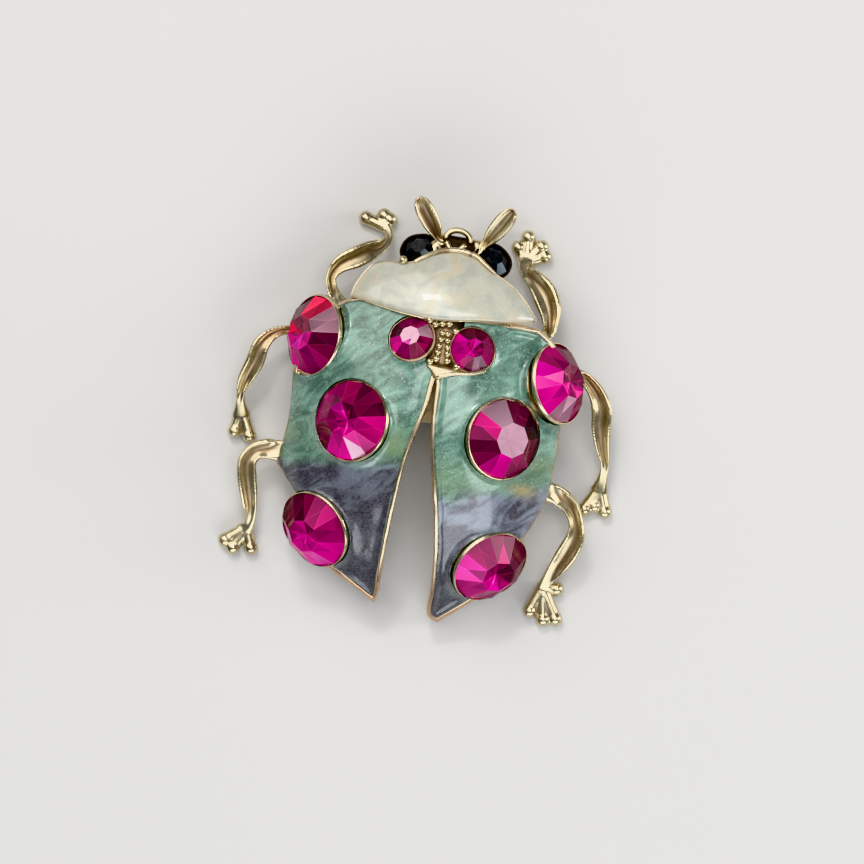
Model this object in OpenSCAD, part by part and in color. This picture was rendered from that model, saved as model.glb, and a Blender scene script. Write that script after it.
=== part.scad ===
/* [Body] */
// Width across the two wings
body_w = 28; // [26:0.5:31]
// Length from the wing tips to the front of the head
body_l = 40; // [37:0.5:44]
// Height of the crest of the back over the surface it rests on
crest_h = 12.5; // [11.5:0.25:14]
// Radius of the back's arch across the wings, as a share of half the body's width
arch_across = 1.25; // [1.18:0.01:1.5]
// Radius of the back's arch from head to tail, as a share of half the body's length
arch_along = 1.43; // [1.3:0.01:1.7]
// Wall of the hollow cast back
shell_t = 1.2; // [0.9:0.1:1.5]

/* [Enamel] */
// Depth of the enamel in the wings
enamel_t = 0.45; // [0.3:0.05:0.6]
// Width of the gold rim round each wing
rim_w = 0.55; // [0.4:0.05:0.8]
// Height of the white shield over the wings
shield_lift = 0.9; // [0.6:0.1:1.4]
// Width of the gold rim round the white shield
shield_rim_w = 0.3; // [0.2:0.05:0.5]
// Gap between enamel or stone and the metal round it
seat_gap = 0.05; // [0.03:0.01:0.1]

/* [Stones] */
// Diameter of the six large stones
stone_d = 7.8; // [7:0.1:8.4]
// Diameter of the two small stones
small_stone_d = 4.3; // [4:0.1:4.7]
// Diameter of the two black eye stones
eye_d = 3.4; // [3:0.1:3.6]
// Wall of the gold bezel round each stone
bezel_t = 0.3; // [0.25:0.05:0.5]
// Height of a girdle over the back at the middle of its stone
girdle_lift = 0.45; // [0.3:0.05:0.8]

/* [Legs and antennae] */
// How far the widest foot reaches past the side of the wings
leg_reach = 5; // [4:0.25:7]
// Usual width of a leg
leg_w = 2; // [1.6:0.1:2.4]
// Thickness of a leg
leg_t = 1.4; // [1.1:0.1:1.8]
// Height of the hips over the surface
hip_h = 5; // [4.5:0.1:5.5]
// Diameter of the balls at the toes
toe_d = 1.1; // [0.9:0.05:1.3]
// Length of an antenna from its fork to its tip
antenna_l = 4.6; // [3.6:0.1:6]
// Diameter of the small cast beads
bead_d = 0.62; // [0.5:0.02:0.8]

/* [Pin] */
// Length of the pin's bar
bar_l = 24; // [20:0.5:25]
// Width of the pin's bar
bar_w = 4; // [3:0.25:4.5]
// Thickness of the pin's bar
bar_t = 0.8; // [0.6:0.1:1]
// Height of the bar's underside over the surface
bar_h = 3.4; // [3:0.1:3.8]
// Diameter of the pin's wire
wire_d = 0.8; // [0.6:0.05:1]
// Height of the middle of the wire over the surface
wire_h = 1.3; // [1.1:0.05:1.6]
// Length of the hinge block and of the catch along the bar
block_l = 3; // [2.4:0.1:3.6]
// Diameter of the two cast posts that carry the bar
post_d = 2.6; // [2:0.1:3.2]
// Gap between the posts and the bar
post_gap = 0.05; // [0.03:0.01:0.1]

/* [Hidden] */

half_w = body_w / 2;
half_l = body_l / 2;
arch_x = arch_across * half_w;
arch_y = arch_along * half_l;
// The antennae reach further than the wing tips, so the middle of the body lies behind the origin
body_y = -0.129 * half_l;
// The crest of the arch from head to tail, in front of the middle of the body
crest_y = 0.15 * half_l;
gold = "goldenrod";
magenta = "mediumvioletred";
// A rim stands this much over its enamel
rim_up = 0.15;
// Everything that cuts runs this far past what it cuts
over = 0.5;
// Cells of the back's surface across and along
cells_across = 12;
cells_along = 11;
round_sides = 20;
ball_sides = 8;

// Wing outlines, [across as a share of half_w, along as a share of half_l],
// from the fork down the inner edge, round the tip and up the outer edge
wing_left_outline = [
    [0.02, 0.60], [0.02, 0.33], [-0.014, 0.30], [-0.03, 0.105], [-0.065, 0.015],
    [-0.107, -0.125], [-0.12, -0.25], [-0.13, -0.50], [-0.13, -0.70], [-0.12, -0.86],
    [-0.14, -0.885], [-0.19, -0.87], [-0.32, -0.82], [-0.50, -0.76], [-0.63, -0.715],
    [-0.70, -0.60], [-0.83, -0.42], [-1.02, -0.295], [-1.02, -0.25], [-1.00, -0.16],
    [-0.99, -0.05], [-1.00, 0.06], [-1.035, 0.192], [-1.00, 0.35], [-0.93, 0.46],
    [-0.79, 0.55], [-0.69, 0.60]];
wing_right_outline = [
    [-0.02, 0.60], [-0.02, 0.30], [-0.007, 0.28], [0.01, 0.07], [0.03, -0.03],
    [0.10, -0.235], [0.15, -0.37], [0.207, -0.57], [0.236, -0.74], [0.234, -0.90],
    [0.26, -0.92], [0.33, -0.928], [0.37, -0.90], [0.57, -0.775], [0.66, -0.65],
    [0.82, -0.425], [0.90, -0.285], [0.94, -0.195], [0.936, -0.11], [0.94, -0.04],
    [0.93, 0.07], [0.92, 0.195], [0.91, 0.30], [0.88, 0.42], [0.786, 0.55], [0.64, 0.61]];

// Outline of the white shield behind the head, in the same shares
shield_outline = [
    [-0.714, 0.59], [-0.37, 0.555], [-0.136, 0.545], [0.02, 0.558], [0.18, 0.58],
    [0.40, 0.60], [0.585, 0.625], [0.61, 0.65], [0.507, 0.73], [0.42, 0.78],
    [0.33, 0.815], [0.23, 0.845], [0.11, 0.90], [-0.03, 0.915], [-0.14, 0.90],
    [-0.23, 0.86], [-0.307, 0.82], [-0.414, 0.80], [-0.514, 0.805], [-0.607, 0.775],
    [-0.657, 0.72], [-0.71, 0.64]];

// Bare gold between the small stones, in the same shares
scutellum_outline = [
    [-0.02, 0.27], [-0.10, 0.335], [-0.17, 0.56], [0.11, 0.57], [0.12, 0.40],
    [0.30, 0.355], [0.13, 0.31], [0.02, 0.27]];

// The middle stone of the right wing keeps this share of a stone's diameter, middle to
// middle, from the upper one, whose place is in the same shares as the outlines
stones_apart = 0.983;
upper_right_at = [0.834, 0.361];
mid_right_across = 0.526;
stone_step_x = (upper_right_at[0] - mid_right_across) * half_w;
stone_step_y = sqrt(pow(stones_apart * stone_d, 2) - pow(stone_step_x, 2));
mid_right_along = upper_right_at[1] - stone_step_y / half_l;

// Stones, [across, along, diameter, extra lean in degrees, turn of the lean in degrees,
// turn of the facets in degrees], each seated square to the back and then leant and turned
upper_left = [-0.908, 0.37, stone_d, 0, 10, 8];
upper_right = [upper_right_at[0], upper_right_at[1], stone_d, 8, 10, 4];
mid_left = [-0.531, -0.01, stone_d, 1, -12, 14];
mid_right = [mid_right_across, mid_right_along, stone_d, 3, 9, 10];
lower_left = [-0.647, -0.572, stone_d, 2, -2, 0];
lower_right = [0.614, -0.588, stone_d, 3, 7, 16];
small_left = [-0.223, 0.434, small_stone_d, 6, 0, 12];
small_right = [0.2, 0.438, small_stone_d, 0, 0, 0];
stones = [upper_left, upper_right, mid_left, mid_right,
          lower_left, lower_right, small_left, small_right];

// Eyes, [across, along, height as a share of hip_h, lean, direction of the lean]
eye_left_seat = [-0.30, 0.888, 1.30, 32, 115];
eye_right_seat = [0.229, 0.905, 1.30, 32, 62];

// Legs, a row for each section: [out past half_w as a share of leg_reach,
// along as a share of half_l, height as a share of hip_h, width as a share of leg_w,
// thickness as a share of leg_t]
front_left_leg = [
    [-0.72, 0.535, 1.25, 0.8, 1.0], [-0.50, 0.575, 1.10, 0.7, 0.9],
    [-0.36, 0.63, 0.96, 0.6, 0.8], [-0.32, 0.685, 0.90, 0.6, 0.8],
    [-0.46, 0.75, 0.90, 0.95, 1.0], [-0.74, 0.80, 0.86, 1.15, 1.1],
    [-0.98, 0.845, 0.76, 1.05, 1.1], [-1.18, 0.88, 0.60, 0.75, 1.0],
    [-1.28, 0.92, 0.42, 0.55, 0.8], [-1.24, 0.965, 0.26, 0.55, 0.8],
    [-1.12, 0.985, 0.17, 0.7, 0.8]];
front_right_leg = [
    [-0.98, 0.56, 1.25, 0.8, 1.0], [-0.80, 0.60, 1.08, 0.7, 0.9],
    [-0.79, 0.66, 0.96, 0.9, 1.0], [-0.86, 0.73, 0.92, 1.25, 1.1],
    [-1.02, 0.80, 0.86, 1.35, 1.1], [-1.24, 0.855, 0.72, 1.05, 1.0],
    [-1.44, 0.89, 0.50, 0.75, 0.9], [-1.50, 0.93, 0.30, 0.85, 0.8],
    [-1.50, 0.97, 0.18, 0.95, 0.8]];
mid_left_leg = [
    [-0.12, 0.39, 0.66, 0.7, 1.0], [0.26, 0.38, 0.68, 0.5, 0.9],
    [0.58, 0.35, 0.76, 0.6, 0.9], [0.80, 0.28, 0.82, 0.9, 1.0],
    [0.88, 0.18, 0.76, 1.0, 1.1], [1.00, 0.09, 0.64, 0.8, 1.0],
    [1.04, 0.02, 0.48, 0.5, 0.9], [1.02, -0.03, 0.34, 0.55, 0.8],
    [0.96, -0.09, 0.20, 1.0, 0.8]];
mid_right_leg = [
    [-0.20, 0.44, 0.84, 0.7, 1.0], [0.10, 0.42, 0.82, 0.7, 0.9],
    [0.38, 0.36, 0.86, 0.9, 1.0], [0.56, 0.28, 0.84, 1.1, 1.1],
    [0.62, 0.19, 0.76, 1.05, 1.1], [0.72, 0.10, 0.62, 0.8, 1.0],
    [0.84, 0.02, 0.46, 0.5, 0.9], [0.86, -0.05, 0.32, 0.55, 0.8],
    [0.84, -0.12, 0.20, 0.95, 0.8]];
rear_left_leg = [
    [-0.16, -0.23, 0.74, 1.25, 1.0], [0.20, -0.225, 0.76, 1.15, 1.0],
    [0.50, -0.25, 0.80, 0.95, 1.0], [0.64, -0.31, 0.80, 1.0, 1.1],
    [0.60, -0.38, 0.76, 1.05, 1.1], [0.50, -0.47, 0.64, 0.95, 1.0],
    [0.40, -0.56, 0.46, 0.7, 0.9], [0.38, -0.62, 0.30, 0.6, 0.8],
    [0.46, -0.66, 0.19, 0.95, 0.8]];
rear_right_leg = [
    [-0.26, -0.17, 0.90, 1.2, 1.0], [0.02, -0.18, 0.84, 1.1, 1.0],
    [0.30, -0.225, 0.80, 0.95, 1.0], [0.48, -0.30, 0.80, 0.8, 1.0],
    [0.52, -0.38, 0.76, 1.05, 1.1], [0.42, -0.47, 0.64, 1.15, 1.1],
    [0.26, -0.56, 0.46, 0.9, 0.9], [0.14, -0.625, 0.30, 0.7, 0.8],
    [0.10, -0.665, 0.19, 0.9, 0.8]];

// Where the hip of each leg ends in the back's wall or in a setting, [across, along]
front_left_hip = [0.64, 0.55];
front_right_hip = [0.55, 0.56];
mid_left_hip = [0.85, 0.37];
mid_right_hip = [0.80, 0.37];
rear_left_hip = [0.80, -0.20];
rear_right_hip = [0.74, -0.14];

// Toes, a row for each: [start out, start along, end out, end along] in the legs' shares
front_left_toes = [
    [-1.12, 0.985, -0.76, 1.01], [-1.10, 0.985, -1.11, 1.04], [-1.16, 0.985, -1.24, 1.025]];
front_right_toes = [
    [-1.50, 0.97, -1.54, 1.07], [-1.46, 0.96, -1.24, 1.035], [-1.44, 0.95, -1.14, 0.99],
    [-1.56, 0.96, -1.70, 1.01]];
mid_left_toes = [[0.98, -0.09, 1.03, -0.175], [0.92, -0.09, 0.72, -0.185]];
mid_right_toes = [
    [0.88, -0.13, 1.03, -0.22], [0.82, -0.12, 0.62, -0.225], [0.84, -0.13, 0.80, -0.20]];
rear_left_toes = [
    [0.50, -0.66, 0.80, -0.725], [0.46, -0.67, 0.62, -0.755], [0.40, -0.66, 0.26, -0.74]];
rear_right_toes = [
    [0.06, -0.67, -0.08, -0.785], [0.12, -0.67, 0.46, -0.80], [0.14, -0.65, 0.38, -0.65],
    [0.10, -0.68, 0.22, -0.815]];

// Where each antenna starts, [across, along], and the compass direction in which it points
antenna_left = [[-0.17, 0.955], 128];
antenna_right = [[0.14, 0.965], 60];
// An antenna's sections: [along as a share of antenna_l, height gained as a share of antenna_l,
// width as a share of leg_w, thickness as a share of leg_t]
antenna_rows = [
    [-0.10, 0, 0.4, 0.7], [0.10, 0.05, 0.45, 0.7], [0.30, 0.12, 0.75, 0.7],
    [0.55, 0.20, 0.9, 0.7], [0.80, 0.28, 0.85, 0.7], [0.95, 0.32, 0.6, 0.6],
    [1.02, 0.34, 0.3, 0.4]];

// Two rows of tiny beads between the small stones: where they start, [across, along],
// how many there are in a row, and the steps sideways and along as shares of bead_d
bead_start = [-0.008, 0.365];
beads_in_row = 5;
bead_side = 0.46;
bead_step = 1.04;
// Larger single beads beside the rows, [across, along], and their size as a share of bead_d
bead_large = 1.2;
scutellum_beads = [[-0.13, 0.545], [0.055, 0.525], [0.115, 0.345], [-0.075, 0.345]];

// Balls under the skin of the head's front and back, [across as a share of half_w,
// along as a share of half_l, height as a share of hip_h, diameter as a share of eye_d]
head_front = [
    [-0.24, 0.87, 1.2, 0.59], [0.18, 0.88, 1.2, 0.59],
    [-0.14, 0.96, 1.2, 0.35], [0.10, 0.965, 1.2, 0.35]];
head_back = [[-0.2, 0.8, 1.36, 0.7], [0.14, 0.82, 1.36, 0.7], [-0.03, 0.9, 1.28, 0.47]];
// The middle of the curled mouth's arch and the ends of the two ribs behind it, in the
// same shares, and the arch's radii across and along as shares of half_w
mouth_middle = [-0.045, 0.97, 1.32];
mouth_ribs = [
    [[-0.115, 0.945, 1.38], [-0.075, 0.905, 1.42]],
    [[0.005, 0.945, 1.38], [-0.045, 0.905, 1.42]]];
mouth_shares = [0.09, 0.072];

// A section with two raised edges and a groove between them, as shares of width and thickness
groove_section = [
    [-0.50, 0.05], [-0.38, 0.46], [-0.20, 0.34], [0.16, 0.24],
    [0.36, 0.50], [0.50, 0.05], [0.28, -0.46], [-0.28, -0.46]];

// Height of the back at a place
function back_z(x, y) =
    crest_h
    - (arch_x - sqrt(pow(arch_x, 2) - x * x))
    - (arch_y - sqrt(pow(arch_y, 2) - pow(y - crest_y, 2)));
// Slopes of the back, across and along
function slope_x(x) = -x / sqrt(pow(arch_x, 2) - x * x);
function slope_y(y) = -(y - crest_y) / sqrt(pow(arch_y, 2) - pow(y - crest_y, 2));
// How much longer a plumb line through the wall is than the wall is thick
function plumb(x, y) = sqrt(1 + pow(slope_x(x), 2) + pow(slope_y(y), 2));
// The shield swells a little between its edges
shield_mid_y = 0.72 * half_l;
shield_half_l = 0.20 * half_l;
shield_swell = 0.5 * shield_lift;
function shield_z(x, y) =
    back_z(x, y) + shield_lift
    + shield_swell * max(0, 1 - pow((y - shield_mid_y) / shield_half_l, 2)) * (1 - pow(x / half_w, 2));

function in_mm(share) = [share[0] * half_w, share[1] * half_l];
function outline_mm(shares) = [for (share = shares) in_mm(share)];

// A closed skin over a grid of points: the top grid first, then the grid under it
function grid_faces(nx, ny) =
    let (cols = nx + 1, low = cols * (ny + 1))
    concat(
        [for (j = [0 : ny - 1], i = [0 : nx - 1])
            let (a = j * cols + i) each [[a, a + cols, a + cols + 1], [a, a + cols + 1, a + 1]]],
        [for (j = [0 : ny - 1], i = [0 : nx - 1])
            let (a = low + j * cols + i) each [[a, a + cols + 1, a + cols], [a, a + 1, a + cols + 1]]],
        [for (i = [0 : nx - 1])
            let (a = i, b = i + low) each [[a, a + 1, b + 1], [a, b + 1, b]]],
        [for (i = [0 : nx - 1])
            let (a = ny * cols + i, b = a + low) each [[a, b + 1, a + 1], [a, b, b + 1]]],
        [for (j = [0 : ny - 1])
            let (a = j * cols, b = a + low) each [[a, b + cols, a + cols], [a, b, b + cols]]],
        [for (j = [0 : ny - 1])
            let (a = j * cols + nx, b = a + low) each [[a, a + cols, b + cols], [a, b + cols, b]]]);

// A layer that follows the back, from one depth square to it up to another
module back_layer(low, high, y_from, y_to) {
    x_side = 1.07 * half_w;
    spots = [for (j = [0 : cells_along], i = [0 : cells_across])
        [-x_side + 2 * x_side * i / cells_across, y_from + (y_to - y_from) * j / cells_along]];
    tops = [for (s = spots) [s[0], s[1], back_z(s[0], s[1]) + high * plumb(s[0], s[1])]];
    lows = [for (s = spots) [s[0], s[1], back_z(s[0], s[1]) + low * plumb(s[0], s[1])]];
    polyhedron(concat(tops, lows), grid_faces(cells_across, cells_along));
}

// A layer that follows the swollen shield, from one height over it to another
module shield_layer(low, high) {
    nx = 13;
    ny = 7;
    x_side = 0.75 * half_w;
    y_from = 0.52 * half_l;
    y_to = 0.92 * half_l;
    spots = [for (j = [0 : ny], i = [0 : nx])
        [-x_side + 2 * x_side * i / nx, y_from + (y_to - y_from) * j / ny]];
    tops = [for (s = spots) [s[0], s[1], shield_z(s[0], s[1]) + high]];
    lows = [for (s = spots) [s[0], s[1], shield_z(s[0], s[1]) + low]];
    polyhedron(concat(tops, lows), grid_faces(nx, ny));
}

// A tall prism over an outline that is drawn in by inset
module prism(shares, inset) {
    linear_extrude(2 * crest_h)
        offset(delta = -inset)
        polygon(outline_mm(shares));
}

// How far back and forward the skin under the wings reaches
wing_from = -0.981 * half_l;
wing_to = 0.679 * half_l;

// Both cast wings at once, so that they are one wall where they meet behind the shield
module wing_shells() {
    difference() {
        intersection() {
            back_layer(-shell_t, enamel_t + rim_up, wing_from, wing_to);
            union() {
                prism(wing_left_outline, 0);
                prism(wing_right_outline, 0);
            }
        }
        difference() {
            intersection() {
                back_layer(0, enamel_t + rim_up + over, wing_from, wing_to);
                union() {
                    prism(wing_left_outline, rim_w);
                    prism(wing_right_outline, rim_w);
                }
            }
            prism(scutellum_outline, 0);
        }
    }
}

module wing_enamel(shares, seats) {
    difference() {
        intersection() {
            back_layer(seat_gap, enamel_t, wing_from, wing_to);
            prism(shares, rim_w + seat_gap);
        }
        prism(scutellum_outline, -seat_gap);
        prism(shield_outline, -seat_gap);
        for (seat = seats)
            at_seat(seat) cup_outside(seat[2], seat_gap, crown_share * seat[2]);
    }
}

module shield_tray() {
    difference() {
        intersection() {
            shield_layer(-shield_lift - 1.3 * shell_t, rim_up);
            prism(shield_outline, 0);
        }
        intersection() {
            shield_layer(-enamel_t, rim_up + over);
            prism(shield_outline, shield_rim_w);
        }
    }
}

module shield_enamel() {
    intersection() {
        shield_layer(-enamel_t + seat_gap, 0);
        prism(shield_outline, shield_rim_w + seat_gap);
    }
}

// Puts what it holds at a stone's girdle, square to the stone
module at_seat(seat) {
    x = seat[0] * half_w;
    y = seat[1] * half_l;
    gx = -slope_x(x);
    gy = -slope_y(y);
    lean = atan(norm([gx, gy])) + seat[3];
    turn = atan2(gy, gx) + seat[4];
    translate([x, y, back_z(x, y)])
        rotate([0, 0, turn])
        rotate([0, lean, 0])
        translate([0, 0, girdle_lift])
        children();
}

module at_eye(seat) {
    translate([seat[0] * half_w, seat[1] * half_l, seat[2] * hip_h])
        rotate([0, 0, seat[4]])
        rotate([0, seat[3], 0])
        children();
}

// A cut stone, as shares of its diameter, with its girdle's upper edge at height zero
crown_share = 0.22;
table_share = 0.225;
girdle_share = 0.06;
pavilion_share = 0.27;
culet_share = 0.14;
// The floor of a setting under its stone, in the same shares
cup_floor_share = 0.31;

// The crown's flat facets cut the round girdle lower between their corners
function girdle_dip(d) = crown_share * d / ((0.5 - table_share) * cos(22.5)) * 0.5 * (1 - cos(22.5));
// How far a stone's girdle and pavilion reach below its upper edge
function girdle_drop(d) = girdle_dip(d) + girdle_share * d / 2;
function stone_depth(d) = girdle_drop(d) + pavilion_share * d;

module cut_stone(d, spin) {
    rt = table_share * d;
    rg = d / 2;
    dip = girdle_dip(d);
    table_ring = [for (i = [0 : 7]) [rt * cos(45 * i), rt * sin(45 * i), crown_share * d]];
    girdle_ring = [for (i = [0 : 15])
        [rg * cos(22.5 * i), rg * sin(22.5 * i), i % 2 == 0 ? 0 : -dip]];
    low_ring = [for (i = [0 : 15]) [rg * cos(22.5 * i), rg * sin(22.5 * i), -dip - girdle_share * d / 2]];
    culet_ring = [for (i = [0 : 7])
        [culet_share * d * cos(45 * i), culet_share * d * sin(45 * i), -stone_depth(d)]];
    facets = concat(
        [[for (i = [7 : -1 : 0]) i]],
        [for (i = [0 : 7])
            [i, (i + 1) % 8, 8 + (2 * i + 2) % 16, 8 + 2 * i + 1, 8 + 2 * i]],
        [for (i = [0 : 15]) [8 + i, 8 + (i + 1) % 16, 24 + (i + 1) % 16, 24 + i]],
        [for (i = [0 : 7]) each [
            [24 + 2 * i, 24 + 2 * i + 1, 40 + i],
            [24 + 2 * i + 1, 40 + (i + 1) % 8, 40 + i],
            [24 + 2 * i + 1, 24 + (2 * i + 2) % 16, 40 + (i + 1) % 8]]],
        [[for (i = [0 : 7]) 40 + i]]);
    rotate([0, 0, spin])
        polyhedron(concat(table_ring, girdle_ring, low_ring, culet_ring), facets);
}

// A disc of round_sides sides whose flats, not its corners, lie at the radius r
module disc(h, r) {
    cylinder(h = h, r = r / cos(180 / round_sides), $fn = round_sides);
}

// The outside of a stone's setting, grown by gap and carried up to the height top
module cup_outside(d, gap, top) {
    hull() {
        translate([0, 0, -girdle_drop(d)])
            disc(girdle_drop(d) + top, d / 2 + bezel_t + gap);
        translate([0, 0, -stone_depth(d) - bezel_t - gap])
            disc(bezel_t, cup_floor_share * d + gap);
    }
}

// The room that a stone and its clearance take out of the metal
module cup_pocket(d) {
    hull() {
        translate([0, 0, -girdle_drop(d) - seat_gap])
            disc(girdle_drop(d) + rim_up + 2 * seat_gap, d / 2 + seat_gap);
        translate([0, 0, crown_share * d])
            disc(seat_gap, table_share * d + seat_gap);
        translate([0, 0, -stone_depth(d) - seat_gap])
            disc(bezel_t, culet_share * d + 2 * seat_gap);
    }
}

// Points on a smooth curve through the rows of a table, two for each row
function bend(a, b, c, d, t) =
    0.5 * (2 * b + (c - a) * t + (2 * a - 5 * b + 4 * c - d) * t * t
           + (3 * b - a - 3 * c + d) * t * t * t);
function smooth_rows(rows, steps) =
    let (last = len(rows) - 1)
    concat([for (k = [0 : last - 1], s = [0 : steps - 1])
        bend(rows[max(k - 1, 0)], rows[k], rows[k + 1], rows[min(k + 2, last)], s / steps)],
        [rows[last]]);

function unit(v) = v / norm(v);
function along_path(path, k) =
    unit(path[min(k + 1, len(path) - 1)] - path[max(k - 1, 0)]);

// A bar swept through the points of path, rows of [width, thickness] beside it
module swept_bar(path, sizes) {
    sides = len(groove_section);
    last = len(path) - 1;
    rings = [for (k = [0 : last])
        let (ahead = along_path(path, k),
             side = unit(cross(ahead, [0, 0, 1])),
             up = cross(side, ahead))
        for (p = groove_section)
            path[k] + side * p[0] * sizes[k][0] + up * p[1] * sizes[k][1]];
    walls = [for (k = [0 : last - 1], i = [0 : sides - 1])
        let (a = k * sides + i, b = k * sides + (i + 1) % sides)
        each [[a, a + sides, b + sides], [a, b + sides, b]]];
    ends = [[for (i = [0 : sides - 1]) i], [for (i = [sides - 1 : -1 : 0]) last * sides + i]];
    polyhedron(rings, concat(walls, ends));
}

function leg_point(side, out, along, high) =
    [side * (half_w + out * leg_reach), along * half_l, high * hip_h];

module ball(at, d) {
    translate(at) sphere(d = d, $fn = ball_sides);
}

// A bar with a ball at each end
module rod(from, from_d, to, to_d) {
    hull() {
        ball(from, from_d);
        ball(to, to_d);
    }
}

// A grooved leg, and the hip that joins it to the underside of the wall
module leg(side, rows, hip) {
    fine = smooth_rows(rows, 2);
    path = [for (r = fine) leg_point(side, r[0], r[1], r[2])];
    swept_bar(path, [for (r = fine) [r[3] * leg_w, r[4] * leg_t]]);
    x = side * hip[0] * half_w;
    y = hip[1] * half_l;
    rod(path[0], leg_t, [x, y, back_z(x, y) - shell_t * plumb(x, y)], leg_t);
}

// Toes slope down from the foot to a ball that stands on the surface
module toes(side, rows) {
    stands = toe_d / 2 * cos(180 / ball_sides);
    for (r = rows)
        rod([side * (half_w + r[0] * leg_reach), r[1] * half_l, 1.3 * stands], 0.85 * toe_d,
            [side * (half_w + r[2] * leg_reach), r[3] * half_l, stands], toe_d);
}

module antenna(place) {
    start = place[0];
    fine = smooth_rows(antenna_rows, 2);
    path = [for (r = fine) [
        start[0] * half_w + r[0] * antenna_l * cos(place[1]),
        start[1] * half_l + r[0] * antenna_l * sin(place[1]),
        1.28 * hip_h + r[1] * antenna_l]];
    swept_bar(path, [for (r = fine) [r[2] * leg_w, r[3] * leg_t]]);
}

function head_point(share) = [share[0] * half_w, share[1] * half_l, share[2] * hip_h];

// The head under the shield's front edge, with the curled mouth between the eyes
module head() {
    for (half = [head_front, head_back])
        hull()
            for (b = half)
                ball(head_point(b), b[3] * eye_d);
    mouth = [for (a = [165 : -30 : 15])
        head_point(mouth_middle) + half_w * [mouth_shares[0] * cos(a), mouth_shares[1] * sin(a), 0]];
    for (k = [0 : len(mouth) - 2])
        rod(mouth[k], bead_d, mouth[k + 1], bead_d);
    for (rib = mouth_ribs)
        rod(head_point(rib[0]), bead_d, head_point(rib[1]), bead_d);
}

module bead(x, y, d) {
    ball([x, y, back_z(x, y) + (enamel_t + rim_up) * plumb(x, y)], d);
}

module scutellum() {
    for (k = [0 : beads_in_row - 1], side = [-1, 1])
        bead(bead_start[0] * half_w + side * bead_side * bead_d,
             bead_start[1] * half_l + k * bead_step * bead_d, bead_d);
    for (spot = scutellum_beads)
        bead(spot[0] * half_w, spot[1] * half_l, bead_large * bead_d);
}

// Posts from the backs of the middle settings down to the pin's bar
pin_y = 0.15 * half_l;
post_x = 0.46 * half_w;
module posts() {
    for (side = [-1, 1])
        translate([side * post_x, pin_y, bar_h + bar_t + post_gap])
            cylinder(h = back_z(post_x, pin_y) - shell_t / 2 - bar_h - bar_t, d = post_d, $fn = 16);
}

module casting() color(gold) translate([0, body_y, 0]) difference() {
    union() {
        wing_shells();
        shield_tray();
        for (seat = stones)
            at_seat(seat) cup_outside(seat[2], 0, rim_up);
        for (seat = [eye_left_seat, eye_right_seat])
            at_eye(seat) cup_outside(eye_d, 0, rim_up);
        leg(-1, front_left_leg, front_left_hip);
        leg(1, front_right_leg, front_right_hip);
        leg(-1, mid_left_leg, mid_left_hip);
        leg(1, mid_right_leg, mid_right_hip);
        leg(-1, rear_left_leg, rear_left_hip);
        leg(1, rear_right_leg, rear_right_hip);
        toes(-1, front_left_toes);
        toes(1, front_right_toes);
        toes(-1, mid_left_toes);
        toes(1, mid_right_toes);
        toes(-1, rear_left_toes);
        toes(1, rear_right_toes);
        antenna(antenna_left);
        antenna(antenna_right);
        head();
        scutellum();
        posts();
    }
    for (seat = stones)
        at_seat(seat) cup_pocket(seat[2]);
    for (seat = [eye_left_seat, eye_right_seat])
        at_eye(seat) cup_pocket(eye_d);
}

module enamel_wing_left() color("cadetblue") translate([0, body_y, 0])
    wing_enamel(wing_left_outline, [upper_left, mid_left, lower_left, small_left]);

module enamel_wing_right() color("cadetblue") translate([0, body_y, 0])
    wing_enamel(wing_right_outline, [upper_right, mid_right, lower_right, small_right]);

module enamel_pronotum() color("ivory") translate([0, body_y, 0]) shield_enamel();

module seated_stone(seat) color(magenta) translate([0, body_y, 0])
    at_seat(seat) cut_stone(seat[2], seat[5]);

module stone_upper_left() seated_stone(upper_left);
module stone_upper_right() seated_stone(upper_right);
module stone_mid_left() seated_stone(mid_left);
module stone_mid_right() seated_stone(mid_right);
module stone_lower_left() seated_stone(lower_left);
module stone_lower_right() seated_stone(lower_right);
module stone_small_left() seated_stone(small_left);
module stone_small_right() seated_stone(small_right);

module seated_eye(seat) color("black") translate([0, body_y, 0])
    at_eye(seat) cut_stone(eye_d, 0);

module eye_left() seated_eye(eye_left_seat);
module eye_right() seated_eye(eye_right_seat);

// The plain pin: a bar, a hinge block, a wire and a hooked catch, in one piece
module pin_back() color("silver") translate([0, body_y + pin_y, 0]) {
    block_x = bar_l / 2 - block_l / 2;
    block_w = 0.7 * bar_w;
    wire_play = 0.25;
    hook_bore = wire_d + 2 * wire_play;
    wire_past_block = 0.4 * block_l;
    translate([-bar_l / 2, -bar_w / 2, bar_h])
        cube([bar_l, bar_w, bar_t]);
    translate([-block_x - block_l / 2, -block_w / 2, 0])
        cube([block_l, block_w, bar_h + bar_t / 2]);
    difference() {
        translate([block_x - block_l / 2, -block_w / 2, 0])
            cube([block_l, block_w, bar_h + bar_t / 2]);
        translate([block_x - block_l, 0, wire_h])
            rotate([0, 90, 0])
            cylinder(h = 2 * block_l, d = hook_bore, $fn = 24);
        translate([block_x - block_l, 0, wire_h - hook_bore / 2])
            cube([2 * block_l, block_w, hook_bore]);
    }
    translate([-block_x, 0, wire_h])
        rotate([0, 90, 0])
        cylinder(h = 2 * block_x + wire_past_block, d = wire_d, $fn = 24);
}

casting();
enamel_wing_left();
enamel_wing_right();
enamel_pronotum();
stone_upper_left();
stone_upper_right();
stone_mid_left();
stone_mid_right();
stone_lower_left();
stone_lower_right();
stone_small_left();
stone_small_right();
eye_left();
eye_right();
pin_back();
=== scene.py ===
"""The looks of the insect brooch, in metres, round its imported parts."""
from math import atan, atan2, ceil, cos, degrees, hypot, pi, radians, sin

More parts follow.
